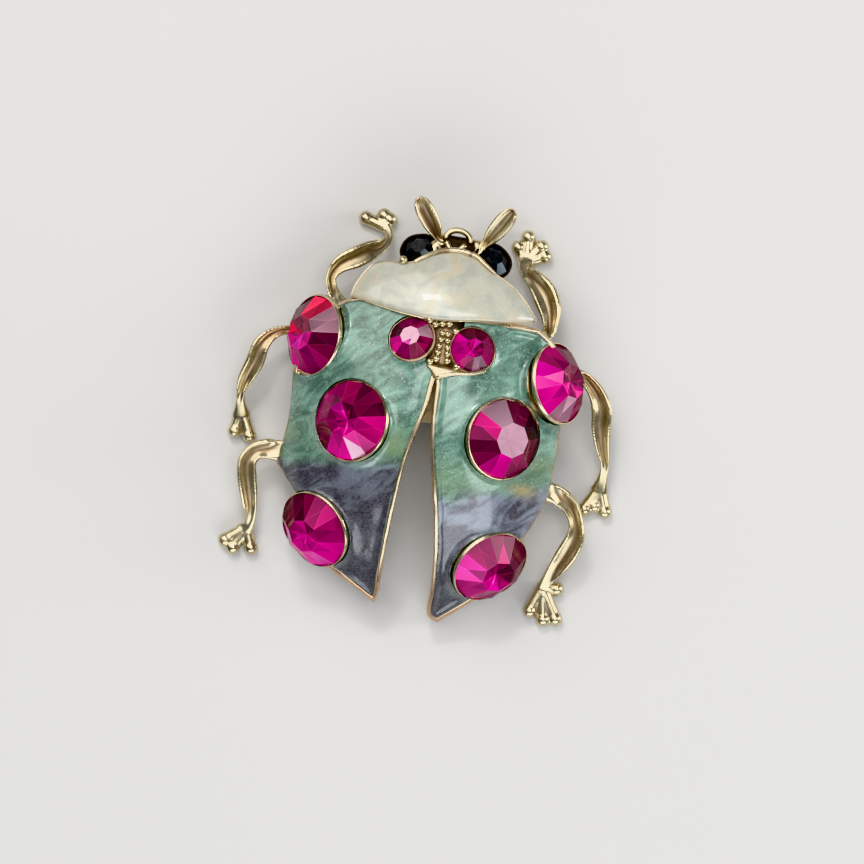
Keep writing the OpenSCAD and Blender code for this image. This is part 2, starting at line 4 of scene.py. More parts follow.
import bpy
import numpy as np
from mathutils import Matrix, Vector


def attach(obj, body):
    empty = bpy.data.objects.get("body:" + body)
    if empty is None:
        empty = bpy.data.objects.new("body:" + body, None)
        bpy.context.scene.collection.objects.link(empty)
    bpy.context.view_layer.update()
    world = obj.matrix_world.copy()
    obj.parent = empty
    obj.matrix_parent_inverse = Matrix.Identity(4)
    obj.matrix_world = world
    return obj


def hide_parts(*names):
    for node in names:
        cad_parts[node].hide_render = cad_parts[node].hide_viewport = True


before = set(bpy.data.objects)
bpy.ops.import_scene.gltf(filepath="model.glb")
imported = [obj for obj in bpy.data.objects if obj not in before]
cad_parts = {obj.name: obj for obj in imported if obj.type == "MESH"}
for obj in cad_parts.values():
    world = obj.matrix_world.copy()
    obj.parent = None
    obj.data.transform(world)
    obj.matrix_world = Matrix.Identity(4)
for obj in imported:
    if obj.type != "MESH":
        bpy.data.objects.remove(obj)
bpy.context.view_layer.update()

MM = 0.001

# The part's own sizes in millimetres, in the frame of its body
HALF_W = 14.0
HALF_L = 20.0
BODY_Y = -2.58
CREST_H = 12.5
CREST_Y = 3.0
ARCH_ACROSS = 17.5
ARCH_ALONG = 28.6
SHELL_T = 1.2
ENAMEL_T = 0.45
RIM_W = 0.55
RIM_UP = 0.15
RIM_SHOWN = 0.45
SHIELD_LIFT = 0.9
SHIELD_RIM_W = 0.3
STONE_D = 7.8
SMALL_STONE_D = 4.3
EYE_D = 3.4
BEZEL_T = 0.3
GIRDLE_LIFT = 0.45
LEG_REACH = 5.0
LEG_W = 2.0
LEG_T = 1.4
HIP_H = 5.0
TOE_D = 1.1
ANTENNA_L = 4.6
BEAD_D = 0.62
POST_D = 2.6
POST_FOOT = 4.25
# Where the posts stand, as shares of half_w and half_l
POST_AT = (0.46, 0.15)
# The underside of the shield's tray, from the shield's own level
TRAY_FLOOR = -1.3
# Space between the points of an outline
OUTLINE_STEP = 0.22
# How far a rim's top rises and falls
RIM_WAVE = 0.05
# A hollow this deep is painted fully brown, as patina and painted shade; it is measured from a mesh evened
# out in rounds
FULL_HOLLOW = 0.09
HOLLOW_ROUNDS = 36
# Where the rims begin to turn coppery, and how far behind that they would be pure copper
COPPER_Y = -10.5
COPPER_RUN = 7.5
# Grain of the limbs and of the finer castings before they are smoothed
LIMB_GRAIN = 0.09
FINE_GRAIN = 0.07
# Grain of the enamel, of the ground under the beads and of the trays below
ENAMEL_CELL = 0.16
GROUND_CELL = 0.12
TRAY_CELL = 0.7

# Outlines as shares of half_w and half_l
WING_LEFT = [
    (0.02, 0.60), (0.02, 0.33), (-0.014, 0.30), (-0.03, 0.105), (-0.065, 0.015),
    (-0.107, -0.125), (-0.12, -0.25), (-0.13, -0.50), (-0.13, -0.70), (-0.12, -0.86),
    (-0.14, -0.885), (-0.19, -0.87), (-0.32, -0.82), (-0.50, -0.76), (-0.63, -0.715),
    (-0.70, -0.60), (-0.83, -0.42), (-1.02, -0.295), (-1.02, -0.25), (-1.00, -0.16),
    (-0.99, -0.05), (-1.00, 0.06), (-1.035, 0.192), (-1.00, 0.35), (-0.93, 0.46),
    (-0.79, 0.55), (-0.69, 0.60)]
WING_RIGHT = [
    (-0.02, 0.60), (-0.02, 0.30), (-0.007, 0.28), (0.01, 0.07), (0.03, -0.03),
    (0.10, -0.235), (0.15, -0.37), (0.207, -0.57), (0.236, -0.74), (0.234, -0.90),
    (0.26, -0.92), (0.33, -0.928), (0.37, -0.90), (0.57, -0.775), (0.66, -0.65),
    (0.82, -0.425), (0.90, -0.285), (0.94, -0.195), (0.936, -0.11), (0.94, -0.04),
    (0.93, 0.07), (0.92, 0.195), (0.91, 0.30), (0.88, 0.42), (0.786, 0.55), (0.64, 0.61)]
SHIELD = [
    (-0.714, 0.59), (-0.37, 0.555), (-0.136, 0.545), (0.02, 0.558), (0.18, 0.58),
    (0.40, 0.60), (0.585, 0.625), (0.61, 0.65), (0.507, 0.73), (0.42, 0.78),
    (0.33, 0.815), (0.23, 0.845), (0.11, 0.90), (-0.03, 0.915), (-0.14, 0.90),
    (-0.23, 0.86), (-0.307, 0.82), (-0.414, 0.80), (-0.514, 0.805), (-0.607, 0.775),
    (-0.657, 0.72), (-0.71, 0.64)]
SCUTELLUM = [
    (-0.02, 0.27), (-0.10, 0.335), (-0.17, 0.56), (0.11, 0.57), (0.12, 0.40),
    (0.30, 0.355), (0.13, 0.31), (0.02, 0.27)]

# Stones: across, along, diameter, extra lean, turn of the lean, turn of the facets, and the
# tones of the eight crown facets and of the eight wedges seen through the table, from the
# right round by the head: k and d dark, m and b magenta, p pink, r red, g dull, s smoky,
# v vivid, w pale, x partly pale. The tones paint the stone's light and shade: w, x, s, p and v
# are painted reflections and glints, k and d facets in painted shade
STONES = {
    "upper_left": (-0.908, 0.37, STONE_D, 0, 10, 8, "dsrdrbbm", "bgggrbpb"),
    "upper_right": (0.834, 0.361, STONE_D, 8, 10, 4, "mmdmvbsm", "mdggmbmb"),
    "mid_left": (-0.531, -0.01, STONE_D, 1, -12, 14, "mddmmdbx", "mkdvmmbb"),
    "mid_right": (0.526, 0.044, STONE_D, 3, 9, 10, "dkdwmdbm", "wwwwwwww"),
    "lower_left": (-0.647, -0.572, STONE_D, 2, -2, 0, "mmddvbvb", "mdbmbbbb"),
    "lower_right": (0.614, -0.588, STONE_D, 3, 7, 16, "ddmmvbmm", "dkdmmbvm"),
    "small_left": (-0.223, 0.434, SMALL_STONE_D, 6, 0, 12, "dwmmdbmg", "wwwwwwpw"),
    "small_right": (0.2, 0.438, SMALL_STONE_D, 0, 0, 0, "mmddvbms", "mdpmmbvm")}
TONES = {"k": (0.055, 0.0, 0.013), "d": (0.130, 0.0, 0.030), "m": (0.29, 0.0, 0.09),
         "b": (0.60, 0.0, 0.22), "p": (0.72, 0.035, 0.37), "w": (0.50, 0.29, 0.37),
         "r": (0.55, 0.004, 0.055), "g": (0.27, 0.055, 0.10), "s": (0.38, 0.18, 0.25),
         "v": (0.80, 0.005, 0.34)}
# Eyes: across, along, height as a share of hip_h, lean, direction of the lean
EYES = {
    "eye_left": (-0.30, 0.888, 1.30, 32, 115),
    "eye_right": (0.229, 0.905, 1.30, 32, 62)}

# Legs: the side, where the root rod meets the back as shares of half_w and half_l, the sections
# and the toes. A section is out past half_w as a share of leg_reach, along as a share of half_l,
# height of hip_h, width of leg_w and thickness of leg_t. A toe is out and along at its two ends
LEGS = {
    "leg_front_left": (-1, (-0.64, 0.55), [
        (-0.72, 0.535, 1.25, 0.8, 1.0), (-0.50, 0.575, 1.10, 0.7, 0.9),
        (-0.36, 0.63, 0.96, 0.6, 0.8), (-0.32, 0.685, 0.90, 0.6, 0.8),
        (-0.46, 0.75, 0.90, 0.95, 1.0), (-0.74, 0.80, 0.86, 1.15, 1.1),
        (-0.98, 0.845, 0.76, 1.05, 1.1), (-1.18, 0.88, 0.60, 0.75, 1.0),
        (-1.28, 0.92, 0.42, 0.55, 0.8), (-1.24, 0.965, 0.26, 0.55, 0.8),
        (-1.12, 0.985, 0.17, 0.7, 0.8)], [
        (-1.12, 0.985, -0.76, 1.01), (-1.10, 0.985, -1.11, 1.04), (-1.16, 0.985, -1.24, 1.025)]),
    "leg_front_right": (1, (0.55, 0.56), [
        (-0.98, 0.56, 1.25, 0.8, 1.0), (-0.80, 0.60, 1.08, 0.7, 0.9),
        (-0.79, 0.66, 0.96, 0.9, 1.0), (-0.86, 0.73, 0.92, 1.25, 1.1),
        (-1.02, 0.80, 0.86, 1.35, 1.1), (-1.24, 0.855, 0.72, 1.05, 1.0),
        (-1.44, 0.89, 0.50, 0.75, 0.9), (-1.50, 0.93, 0.30, 0.85, 0.8),
        (-1.50, 0.97, 0.18, 0.95, 0.8)], [
        (-1.50, 0.97, -1.54, 1.07), (-1.46, 0.96, -1.24, 1.035), (-1.44, 0.95, -1.14, 0.99),
        (-1.56, 0.96, -1.70, 1.01)]),
    "leg_mid_left": (-1, (-0.85, 0.37), [
        (-0.12, 0.39, 0.66, 0.7, 1.0), (0.26, 0.38, 0.68, 0.5, 0.9),
        (0.58, 0.35, 0.76, 0.6, 0.9), (0.80, 0.28, 0.82, 0.9, 1.0),
        (0.88, 0.18, 0.76, 1.0, 1.1), (1.00, 0.09, 0.64, 0.8, 1.0),
        (1.04, 0.02, 0.48, 0.5, 0.9), (1.02, -0.03, 0.34, 0.55, 0.8),
        (0.96, -0.09, 0.20, 1.0, 0.8)], [
        (0.98, -0.09, 1.03, -0.175), (0.92, -0.09, 0.72, -0.185)]),
    "leg_mid_right": (1, (0.80, 0.37), [
        (-0.20, 0.44, 0.84, 0.7, 1.0), (0.10, 0.42, 0.82, 0.7, 0.9),
        (0.38, 0.36, 0.86, 0.9, 1.0), (0.56, 0.28, 0.84, 1.1, 1.1),
        (0.62, 0.19, 0.76, 1.05, 1.1), (0.72, 0.10, 0.62, 0.8, 1.0),
        (0.84, 0.02, 0.46, 0.5, 0.9), (0.86, -0.05, 0.32, 0.55, 0.8),
        (0.84, -0.12, 0.20, 0.95, 0.8)], [
        (0.88, -0.13, 1.03, -0.22), (0.82, -0.12, 0.62, -0.225), (0.84, -0.13, 0.80, -0.20)]),
    "leg_rear_left": (-1, (-0.80, -0.20), [
        (-0.16, -0.23, 0.74, 1.25, 1.0), (0.20, -0.225, 0.76, 1.15, 1.0),
        (0.50, -0.25, 0.80, 0.95, 1.0), (0.64, -0.31, 0.80, 1.0, 1.1),
        (0.60, -0.38, 0.76, 1.05, 1.1), (0.50, -0.47, 0.64, 0.95, 1.0),
        (0.40, -0.56, 0.46, 0.7, 0.9), (0.38, -0.62, 0.30, 0.6, 0.8),
        (0.46, -0.66, 0.19, 0.95, 0.8)], [
        (0.50, -0.66, 0.80, -0.725), (0.46, -0.67, 0.62, -0.755), (0.40, -0.66, 0.26, -0.74)]),
    "leg_rear_right": (1, (0.74, -0.14), [
        (-0.26, -0.17, 0.90, 1.2, 1.0), (0.02, -0.18, 0.84, 1.1, 1.0),
        (0.30, -0.225, 0.80, 0.95, 1.0), (0.48, -0.30, 0.80, 0.8, 1.0),
        (0.52, -0.38, 0.76, 1.05, 1.1), (0.42, -0.47, 0.64, 1.15, 1.1),
        (0.26, -0.56, 0.46, 0.9, 0.9), (0.14, -0.625, 0.30, 0.7, 0.8),
        (0.10, -0.665, 0.19, 0.9, 0.8)], [
        (0.06, -0.67, -0.08, -0.785), (0.12, -0.67, 0.46, -0.80), (0.14, -0.65, 0.38, -0.65),
        (0.10, -0.68, 0.22, -0.815)])}

# Antennae: where each starts and its compass direction, and the sections of its leaf
ANTENNAE = {"antenna_left": ((-0.17, 0.955), 128), "antenna_right": ((0.14, 0.965), 60)}
ANTENNA_ROWS = [
    (-0.10, 0, 0.4, 0.7), (0.10, 0.05, 0.45, 0.7), (0.30, 0.12, 0.75, 0.7),
    (0.55, 0.20, 0.9, 0.7), (0.80, 0.28, 0.85, 0.7), (0.95, 0.32, 0.6, 0.6),
    (1.02, 0.34, 0.3, 0.4)]

# Sections across a limb: a leaf with raised edges, a leg with a ridge on its outer side and
# a hollow on its inner one, and a plain round bar
LEAF = [(-0.50, 0.0), (-0.48, 0.16), (-0.42, 0.22), (-0.34, 0.12), (-0.22, -0.06), (-0.06, -0.10),
        (0.10, 0.04), (0.22, 0.40), (0.36, 0.56), (0.47, 0.38), (0.50, -0.02),
        (0.30, -0.40), (0.0, -0.48), (-0.34, -0.38)]
LEG = [(-0.50, -0.05), (-0.47, 0.18), (-0.40, 0.24), (-0.29, 0.10), (-0.12, -0.04), (0.02, 0.04),
       (0.13, 0.26), (0.24, 0.46), (0.36, 0.50), (0.46, 0.36), (0.50, 0.02),
       (0.34, -0.40), (0.0, -0.48), (-0.34, -0.38)]
ROUND = [(0.5 * cos(a), 0.46 * sin(a)) for a in
         [pi - 2 * pi * i / 14 for i in range(14)]]


# Surfaces
def in_plan(shares):
    """Places in millimetres from their shares of half_w and half_l."""
    return np.array(shares) * (HALF_W, HALF_L)


def bow(radius, x):
    """The height of a circle of that radius, at x from its middle."""
    return np.sqrt(radius ** 2 - x ** 2)


def back_z(x, y):
    """The height of the back, an arch both ways."""
    return (CREST_H - (ARCH_ACROSS - bow(ARCH_ACROSS, x))
            - (ARCH_ALONG - bow(ARCH_ALONG, y - CREST_Y)))


def slopes(x, y):
    return -x / bow(ARCH_ACROSS, x), -(y - CREST_Y) / bow(ARCH_ALONG, y - CREST_Y)


def plumb(x, y):
    """The plumb height of a layer one millimetre thick on the slope of the back."""
    sx, sy = slopes(x, y)
    return np.sqrt(1 + sx * sx + sy * sy)


def over_back(x, y, h):
    return back_z(x, y) + h * plumb(x, y)


def raised(flat, surface, h):
    """Points in plan set at a height over a surface."""
    return np.column_stack([flat, surface(flat[:, 0], flat[:, 1], h)])


def fade(distance, reach):
    """One at no distance, and less and less over reach."""
    return np.exp(-np.maximum(distance, 0) / reach)


def hump(x, middle, half):
    """A bell curve of height one round its middle."""
    return np.exp(-((x - np.array(middle)) / half) ** 2)


def unit(vectors):
    return vectors / np.linalg.norm(vectors, axis=-1, keepdims=True)


def over_shield(x, y, h):
    swell = np.maximum(0, 1 - ((y - 0.72 * HALF_L) / (0.20 * HALF_L)) ** 2)
    return back_z(x, y) + SHIELD_LIFT * (1 + 0.5 * swell * (1 - (x / HALF_W) ** 2)) + h


def lattice(points, size, seed):
    """Smooth value noise in plan from -1 to 1, with features of the given size."""
    table = np.random.default_rng(seed).uniform(-1, 1, (64, 64))
    u, v = points[:, 0] / size + 31.7, points[:, 1] / size + 17.3
    i, j = np.floor(u).astype(int), np.floor(v).astype(int)
    a, b = u - i, v - j
    a, b = a * a * (3 - 2 * a), b * b * (3 - 2 * b)
    g = lambda di, dj: table[(i + di) % 64, (j + dj) % 64]
    return ((g(0, 0) * (1 - a) + g(1, 0) * a) * (1 - b)
            + (g(0, 1) * (1 - a) + g(1, 1) * a) * b)


# Outlines
def resample(points, step):
    """Points of an open run, spaced by about step."""
    points = np.asarray(points, float)
    length = np.concatenate([[0], np.cumsum(np.linalg.norm(np.diff(points, axis=0), axis=1))])
    at = np.linspace(0, length[-1], max(2, round(length[-1] / step) + 1))
    return np.stack([np.interp(at, length, points[:, k]) for k in range(points.shape[1])], 1)


def soften(run, reach):
    """A run smoothed by a bell curve of that many points, with its two ends kept."""
    pad = min(3 * reach, len(run) - 1)
    if pad < 1:
        return run
    head = 2 * run[0] - run[pad:0:-1]
    tail = 2 * run[-1] - run[-2:-pad - 2:-1]
    full = np.concatenate([head, run, tail])
    bell = np.exp(-0.5 * (np.arange(-pad, pad + 1) / reach) ** 2)
    bell /= bell.sum()
    smooth = np.stack([np.convolve(full[:, k], bell, "valid") for k in range(run.shape[1])], 1)
    smooth[0], smooth[-1] = run[0], run[-1]
    return smooth


def outline(shares, sharp, reach=3):
    """A closed outline in millimetres, smooth but for the corners named in sharp."""
    pts = np.roll(in_plan(shares), -sharp[0], axis=0)
    corners = [s - sharp[0] for s in sharp] + [len(pts)]
    loop = np.concatenate([pts, pts[:1]])
    runs = [soften(resample(loop[a:b + 1], OUTLINE_STEP), reach)[:-1]
            for a, b in zip(corners, corners[1:])]
    return np.concatenate(runs)


def edge_distance(points, loop):
    """Distance from each point to a closed outline, above zero inside it."""
    a, b = loop, np.roll(loop, -1, axis=0)
    best = np.full(len(points), 1e9)
    within = np.zeros(len(points), bool)
    for p, q in zip(a, b):
        d = q - p
        t = np.clip(((points - p) @ d) / max(d @ d, 1e-12), 0, 1)
        best = np.minimum(best, ((points - p - t[:, None] * d) ** 2).sum(1))
        if p[1] != q[1]:
            crosses = (p[1] > points[:, 1]) != (q[1] > points[:, 1])
            at = (q[0] - p[0]) * (points[:, 1] - p[1]) / (q[1] - p[1]) + p[0]
            within ^= crosses & (points[:, 0] < at)
    return np.where(within, 1, -1) * np.sqrt(best)


def inset(loop, depth):
    """The outline drawn in by depth, point for point."""
    ahead = unit(np.roll(loop, -1, axis=0) - loop)
    behind = np.roll(ahead, 1, axis=0)
    turn = 1 if np.sum(loop[:, 0] * np.roll(loop[:, 1], -1)
                       - loop[:, 1] * np.roll(loop[:, 0], -1)) > 0 else -1
    normal = lambda t: turn * np.stack([-t[:, 1], t[:, 0]], 1)
    mid = unit(normal(ahead) + normal(behind))
    moved = loop + depth * mid / np.maximum((mid * normal(ahead)).sum(1), 0.4)[:, None]
    if abs(depth) < 0.05:
        return moved
    good = edge_distance(moved, loop) * np.sign(depth) > 0.93 * abs(depth)
    where = np.flatnonzero(good)
    for k in np.flatnonzero(~good):
        gap = np.abs(where - k)
        moved[k] = moved[where[np.argmin(np.minimum(gap, len(loop) - gap))]]
    return moved


# Meshes
def part(points, faces, **tags):
    return {"points": np.asarray(points, float), "faces": faces, "tags": tags}


def add_object(name, data):
    made = bpy.data.objects.new(name, data)
    bpy.context.scene.collection.objects.link(made)
    return made


def mark(mesh, key, values, kind="FLOAT", field="value"):
    """Values at the points of a mesh, under a name that its material reads."""
    data = mesh.attributes.new(key, kind, "POINT").data
    data.foreach_set(field, np.asarray(values, np.float32).ravel())


def make(name, parts, material, smooth=True, sharp_angle=None):
    """One object from several parts in the body's millimetres."""
    points, faces, base = [], [], 0
    keys = sorted({k for p in parts for k in p["tags"]})
    tags = {k: [] for k in keys}
    for p in parts:
        points.append(p["points"])
        faces += [[int(i) + base for i in f] for f in p["faces"]]
        for k in keys:
            tags[k].append(np.broadcast_to(p["tags"].get(k, 0.0), len(p["points"])))
        base += len(p["points"])
    points = (np.concatenate(points) + (0, BODY_Y, 0)) * MM
    mesh = bpy.data.meshes.new(name)
    mesh.from_pydata(points.tolist(), [], faces)
    mesh.materials.append(material)
    mesh.polygons.foreach_set("use_smooth", np.full(len(faces), smooth))
    for k in keys:
        mark(mesh, k, np.concatenate(tags[k]))
    mesh.update()
    if sharp_angle:
        mesh.set_sharp_from_angle(angle=radians(sharp_angle))
    return add_object(name, mesh)


def declare(piece, slot, *replaces):
    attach(piece, "root")
    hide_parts(*replaces)


def cast(name, parts, metal, sharp_angle=None):
    declare(make(name, parts, metal, sharp_angle=sharp_angle), "gold_cast", "casting")


def welded(points, faces):
    """The faces with points at one place taken as one, and without what that flattens."""
    first = {}
    same = [first.setdefault(tuple(p), k) for k, p in enumerate(np.round(points, 5))]
    faces = [tuple(dict.fromkeys(same[i] for i in f)) for f in faces]
    return [f for f in faces if len(f) > 2]


def tube(n, m, closed=False):
    """Faces between m rings of n points, from the last ring to the first too where closed."""
    return [(k * n + i, k * n + (i + 1) % n, (k + 1) % m * n + (i + 1) % n, (k + 1) % m * n + i)
            for k in range(m if closed else m - 1) for i in range(n)]


def circle(sides):
    """The angles of so many points round a circle."""
    return np.arange(sides) * 2 * pi / sides


def band(loop, profile, surface, wave):
    """A rim round an outline: profile lists depths in and heights, and its top is waved."""
    rings = []
    for depth, h in profile:
        ring = inset(loop, depth) if depth else loop
        rings.append(raised(ring, surface, h + wave(ring) * (h > 0.1)))
    points = np.concatenate(rings)
    return points, welded(points, tube(len(loop), len(profile), True))


def cut_grid(field, loop, cell):
    """Grid triangles where field is above zero, cut along its edge: points, faces, edge pairs."""
    low, high = loop.min(0) - 0.1, loop.max(0) + 0.1
    nx, ny = (int(ceil((high[k] - low[k]) / cell)) for k in (0, 1))
    gx, gy = np.meshgrid(low[0] + cell * np.arange(nx + 1), low[1] + cell * np.arange(ny + 1),
                         indexing="ij")
    spots = np.stack([gx.ravel(), gy.ravel()], 1)
    value = field(spots)
    value[np.abs(value) < 1e-4] = 1e-4
    number = lambda i, j: i * (ny + 1) + j
    points, used, faces = [], {}, []

    def point(a, b):
        """The point where the edge from a to b is cut, or a itself where b is the same."""
        key = (min(a, b), max(a, b))
        if key not in used:
            t = 0 if a == b else value[a] / (value[a] - value[b])
            used[key] = len(points)
            points.append(spots[a] + t * (spots[b] - spots[a]))
        return used[key]

    positive = value > 0
    for i in range(nx):
        for j in range(ny):
            c = (number(i, j), number(i + 1, j), number(i + 1, j + 1), number(i, j + 1))
            if not any(positive[k] for k in c):
                continue
            split = ((0, 1, 2), (0, 2, 3)) if (i + j) % 2 else ((0, 1, 3), (1, 2, 3))
            for t in split:
                tri = [c[k] for k in t]
                shape = []
                for k in range(3):
                    a, b = tri[k], tri[(k + 1) % 3]
                    if positive[a]:
                        shape.append(point(a, a))
                    if positive[a] != positive[b]:
                        shape.append(point(a, b))
                if len(shape) >= 3:
                    faces.append(shape)
    sides = dict.fromkeys((a, b) for f in faces for a, b in zip(f, f[1:] + f[:1]))
    rim = [(a, b) for a, b in sides if (b, a) not in sides]
    return np.array(points), faces, rim


def sheet(field, surface, loop, cell, height, skirt, **tags):
    """A surface over the places where field is above zero, with a skirt down at its edge."""
    flat, faces, rim = cut_grid(field, loop, cell)
    top = raised(flat, surface, height(flat))
    ends = sorted({k for pair in rim for k in pair})
    below = {k: len(top) + n for n, k in enumerate(ends)}
    low_ring = top[ends] - (0, 0, skirt)
    points = np.concatenate([top, low_ring])
    faces = faces + [(b, a, below[a], below[b]) for a, b in rim]
    both = np.concatenate([flat, flat[ends]])
    return part(points, faces, **{k: f(both) for k, f in tags.items()})


def turned(profile, sides, place, wobble=None, **tags):
    """A body of revolution from radii and heights, placed by a function."""
    ring = circle(sides)
    points = []
    for k, (r, h) in enumerate(profile):
        dr, dh = (0, 0) if wobble is None else wobble(ring, k)
        points.append(np.stack([(r + dr) * np.cos(ring), (r + dr) * np.sin(ring),
                                np.full(sides, h) + dh], 1))
    return part(place(np.concatenate(points)), tube(sides, len(profile)), **tags)


def bend_rows(rows, steps):
    rows = np.array(rows, float)
    full = np.concatenate([rows[:1], rows, rows[-1:]])
    out = []
    for k in range(len(rows) - 1):
        a, b, c, d = full[k:k + 4]
        for t in np.arange(steps) / steps:
            out.append(0.5 * (2 * b + (c - a) * t + (2 * a - 5 * b + 4 * c - d) * t ** 2
                              + (3 * b - a - 3 * c + d) * t ** 3))
    return np.array(out + [rows[-1]])


def swept(path, widths, heights, groove, section, outer):
    """A closed bar along a path, between a plain section and a hollowed one."""
    ahead = unit(np.gradient(path, axis=0))
    side = unit(np.cross(ahead, (0, 0, 1)))
    up = np.cross(side, ahead)
    plain, cut = np.array(ROUND), np.array(section)
    rings = []
    for k in range(len(path)):
        s = plain * (1 - groove[k]) + cut * groove[k]
        rings.append(path[k] + np.outer(s[:, 0] * widths[k] * outer, side[k])
                     + np.outer(s[:, 1] * heights[k], up[k]))
    n, m = len(plain), len(path)
    faces = [(a, d, c, b) for a, b, c, d in tube(n, m)]
    faces += [tuple(range(n)), tuple((m - 1) * n + i for i in reversed(range(n)))]
    return part(np.concatenate(rings), faces if outer > 0 else [f[::-1] for f in faces])


def drop(a, a_d, b, b_d, sides=16, rings=8):
    """A tapered bar with a round end at each place."""
    a, b = np.array(a, float), np.array(b, float)
    axis = b - a
    length = np.linalg.norm(axis)
    axis = axis / length if length > 1e-6 else np.array((0, 0, 1.0))
    helper = np.array((0, 0, 1.0)) if abs(axis[2]) < 0.9 else np.array((1.0, 0, 0))
    u = unit(np.cross(axis, helper))
    v = np.cross(axis, u)
    stations = [(-0.5 * a_d * cos(t), 0.5 * a_d * sin(t))
                for t in np.linspace(0.05, pi / 2, rings)]
    stations += [(length + 0.5 * b_d * sin(t), 0.5 * b_d * cos(t))
                 for t in np.linspace(0, pi / 2 - 0.05, rings) if t > 0 or length > 1e-6]
    ring = circle(sides)
    points = np.concatenate([a + s * axis + r * (np.outer(np.cos(ring), u) + np.outer(np.sin(ring), v))
                             for s, r in stations])
    faces = tube(sides, len(stations)) + [tuple(reversed(range(sides)))]
    faces.append(tuple(len(points) - sides + i for i in range(sides)))
    return part(points, faces)


def ball(at, d):
    """A ball, as a bar of next to no length."""
    return drop(at, d, np.array(at, float) + (0, 0, 1e-7), d, sides=14, rings=7)


def rope(points, sizes):
    """Round bars from point to point, with a thickness for each point."""
    return [drop(a, c, b, d) for a, b, c, d in zip(points, points[1:], sizes, sizes[1:])]


def read(mesh, key):
    """A row of three numbers for each point of a mesh."""
    values = np.zeros(len(mesh.vertices) * 3)
    mesh.vertices.foreach_get(key, values)
    return values.reshape(-1, 3)


def hollows(mesh):
    """How deep each point of a mesh lies in a hollow, in millimetres, less than 0 on a ridge."""
    n = len(mesh.vertices)
    points = read(mesh, "co") / MM
    pairs = np.zeros(len(mesh.edges) * 2, np.int64)
    mesh.edges.foreach_get("vertices", pairs)
    a, b = pairs.reshape(-1, 2).T
    count = np.bincount(a, minlength=n) + np.bincount(b, minlength=n)
    even = points.copy()
    for _ in range(HOLLOW_ROUNDS):
        even = np.stack([(np.bincount(a, even[b, k], n) + np.bincount(b, even[a, k], n))
                         / np.maximum(count, 1) for k in range(3)], 1)
    return ((even - points) * read(mesh, "normal")).sum(1)


def fuse(name, parts, metal, grain, smooth_rounds=8, shade=None):
    """Several closed parts melted into one cast body, with its hollows marked; shade adds painted shade to
    the mark.
    """
    rough = make(name + "_rough", parts, metal)
    melt = rough.modifiers.new("melt", "REMESH")
    melt.mode = "VOXEL"
    melt.voxel_size = grain * MM
    soft = rough.modifiers.new("soft", "SMOOTH")
    soft.factor = 0.5
    soft.iterations = smooth_rounds
    bpy.context.view_layer.update()
    done = rough.evaluated_get(bpy.context.evaluated_depsgraph_get())
    mesh = bpy.data.meshes.new_from_object(done)
    mesh.name = name
    bpy.data.objects.remove(rough)
    mesh.polygons.foreach_set("use_smooth", np.full(len(mesh.polygons), True))
    deep = np.clip(hollows(mesh) / FULL_HOLLOW, -1, 1)
    if shade:
        deep = deep + shade(read(mesh, "co") / MM - (0, BODY_Y, 0))
    mark(mesh, "hollow", deep)
    mesh.materials.clear()
    mesh.materials.append(metal)
    declare(add_object(name, mesh), "gold_cast", "casting")


# Materials
def surface_material(name, color, metallic, roughness, **more):
    material = bpy.data.materials.new(name)
    material.use_nodes = True
    shader = material.node_tree.nodes["Principled BSDF"]
    shader.inputs["Base Color"].default_value = (*color, 1)
    shader.inputs["Metallic"].default_value = metallic
    shader.inputs["Roughness"].default_value = roughness
    for key, value in more.items():
        shader.inputs[key.replace("_", " ")].default_value = value
    return material, material.node_tree, shader


def node(tree, kind, values=(), **settings):
    made = tree.nodes.new("ShaderNode" + kind)
    for key, value in settings.items():
        setattr(made, key, value)
    for key, value in dict(values).items():
        made.inputs[key].default_value = value
    return made


def places(tree, size, stretch=(1, 1, 1), turn=0.0):
    """The piece's own coordinates as counts of a size in millimetres, turned and stretched."""
    coordinates = node(tree, "TexCoord")
    mapping = node(tree, "Mapping", {"Scale": tuple(size * v * MM for v in stretch),
                                     "Rotation": (0, 0, radians(turn))}, vector_type="TEXTURE")
    tree.links.new(coordinates.outputs["Object"], mapping.inputs["Vector"])
    return mapping.outputs["Vector"]


def noise(tree, size, detail, distortion=0.0, stretch=(1, 1, 1), turn=0.0):
    made = node(tree, "TexNoise", {"Scale": 1.0, "Detail": detail, "Distortion": distortion})
    tree.links.new(places(tree, size, stretch, turn), made.inputs["Vector"])
    return made.outputs["Fac"]


def remap(tree, value, low, high, to_low=0.0, to_high=1.0):
    made = node(tree, "MapRange", {"From Min": low, "From Max": high,
                                   "To Min": to_low, "To Max": to_high})
    tree.links.new(value, made.inputs["Value"])
    return made.outputs["Result"]


def math_node(tree, operation, a, b):
    made = node(tree, "Math", operation=operation)
    for k, v in enumerate((a, b)):
        if isinstance(v, (int, float)):
            made.inputs[k].default_value = v
        else:
            tree.links.new(v, made.inputs[k])
    return made.outputs[0]


def times(tree, a, b):
    return math_node(tree, "MULTIPLY", a, b)


def mix(tree, share, a, b):
    """Colour a turning into colour b by a share."""
    made = node(tree, "Mix", data_type="RGBA")
    for k, v in ((0, share), (6, a), (7, b)):
        if isinstance(v, tuple):
            made.inputs[k].default_value = (*v, 1)
        else:
            tree.links.new(v, made.inputs[k])
    return made.outputs[2]


def attribute(tree, name, output="Fac"):
    return node(tree, "Attribute", attribute_name=name).outputs[output]


def bump(tree, height, strength, distance, normal=None):
    made = node(tree, "Bump", {"Strength": strength, "Distance": distance * MM})
    tree.links.new(height, made.inputs["Height"])
    if normal:
        tree.links.new(normal, made.inputs["Normal"])
    return made.outputs["Normal"]


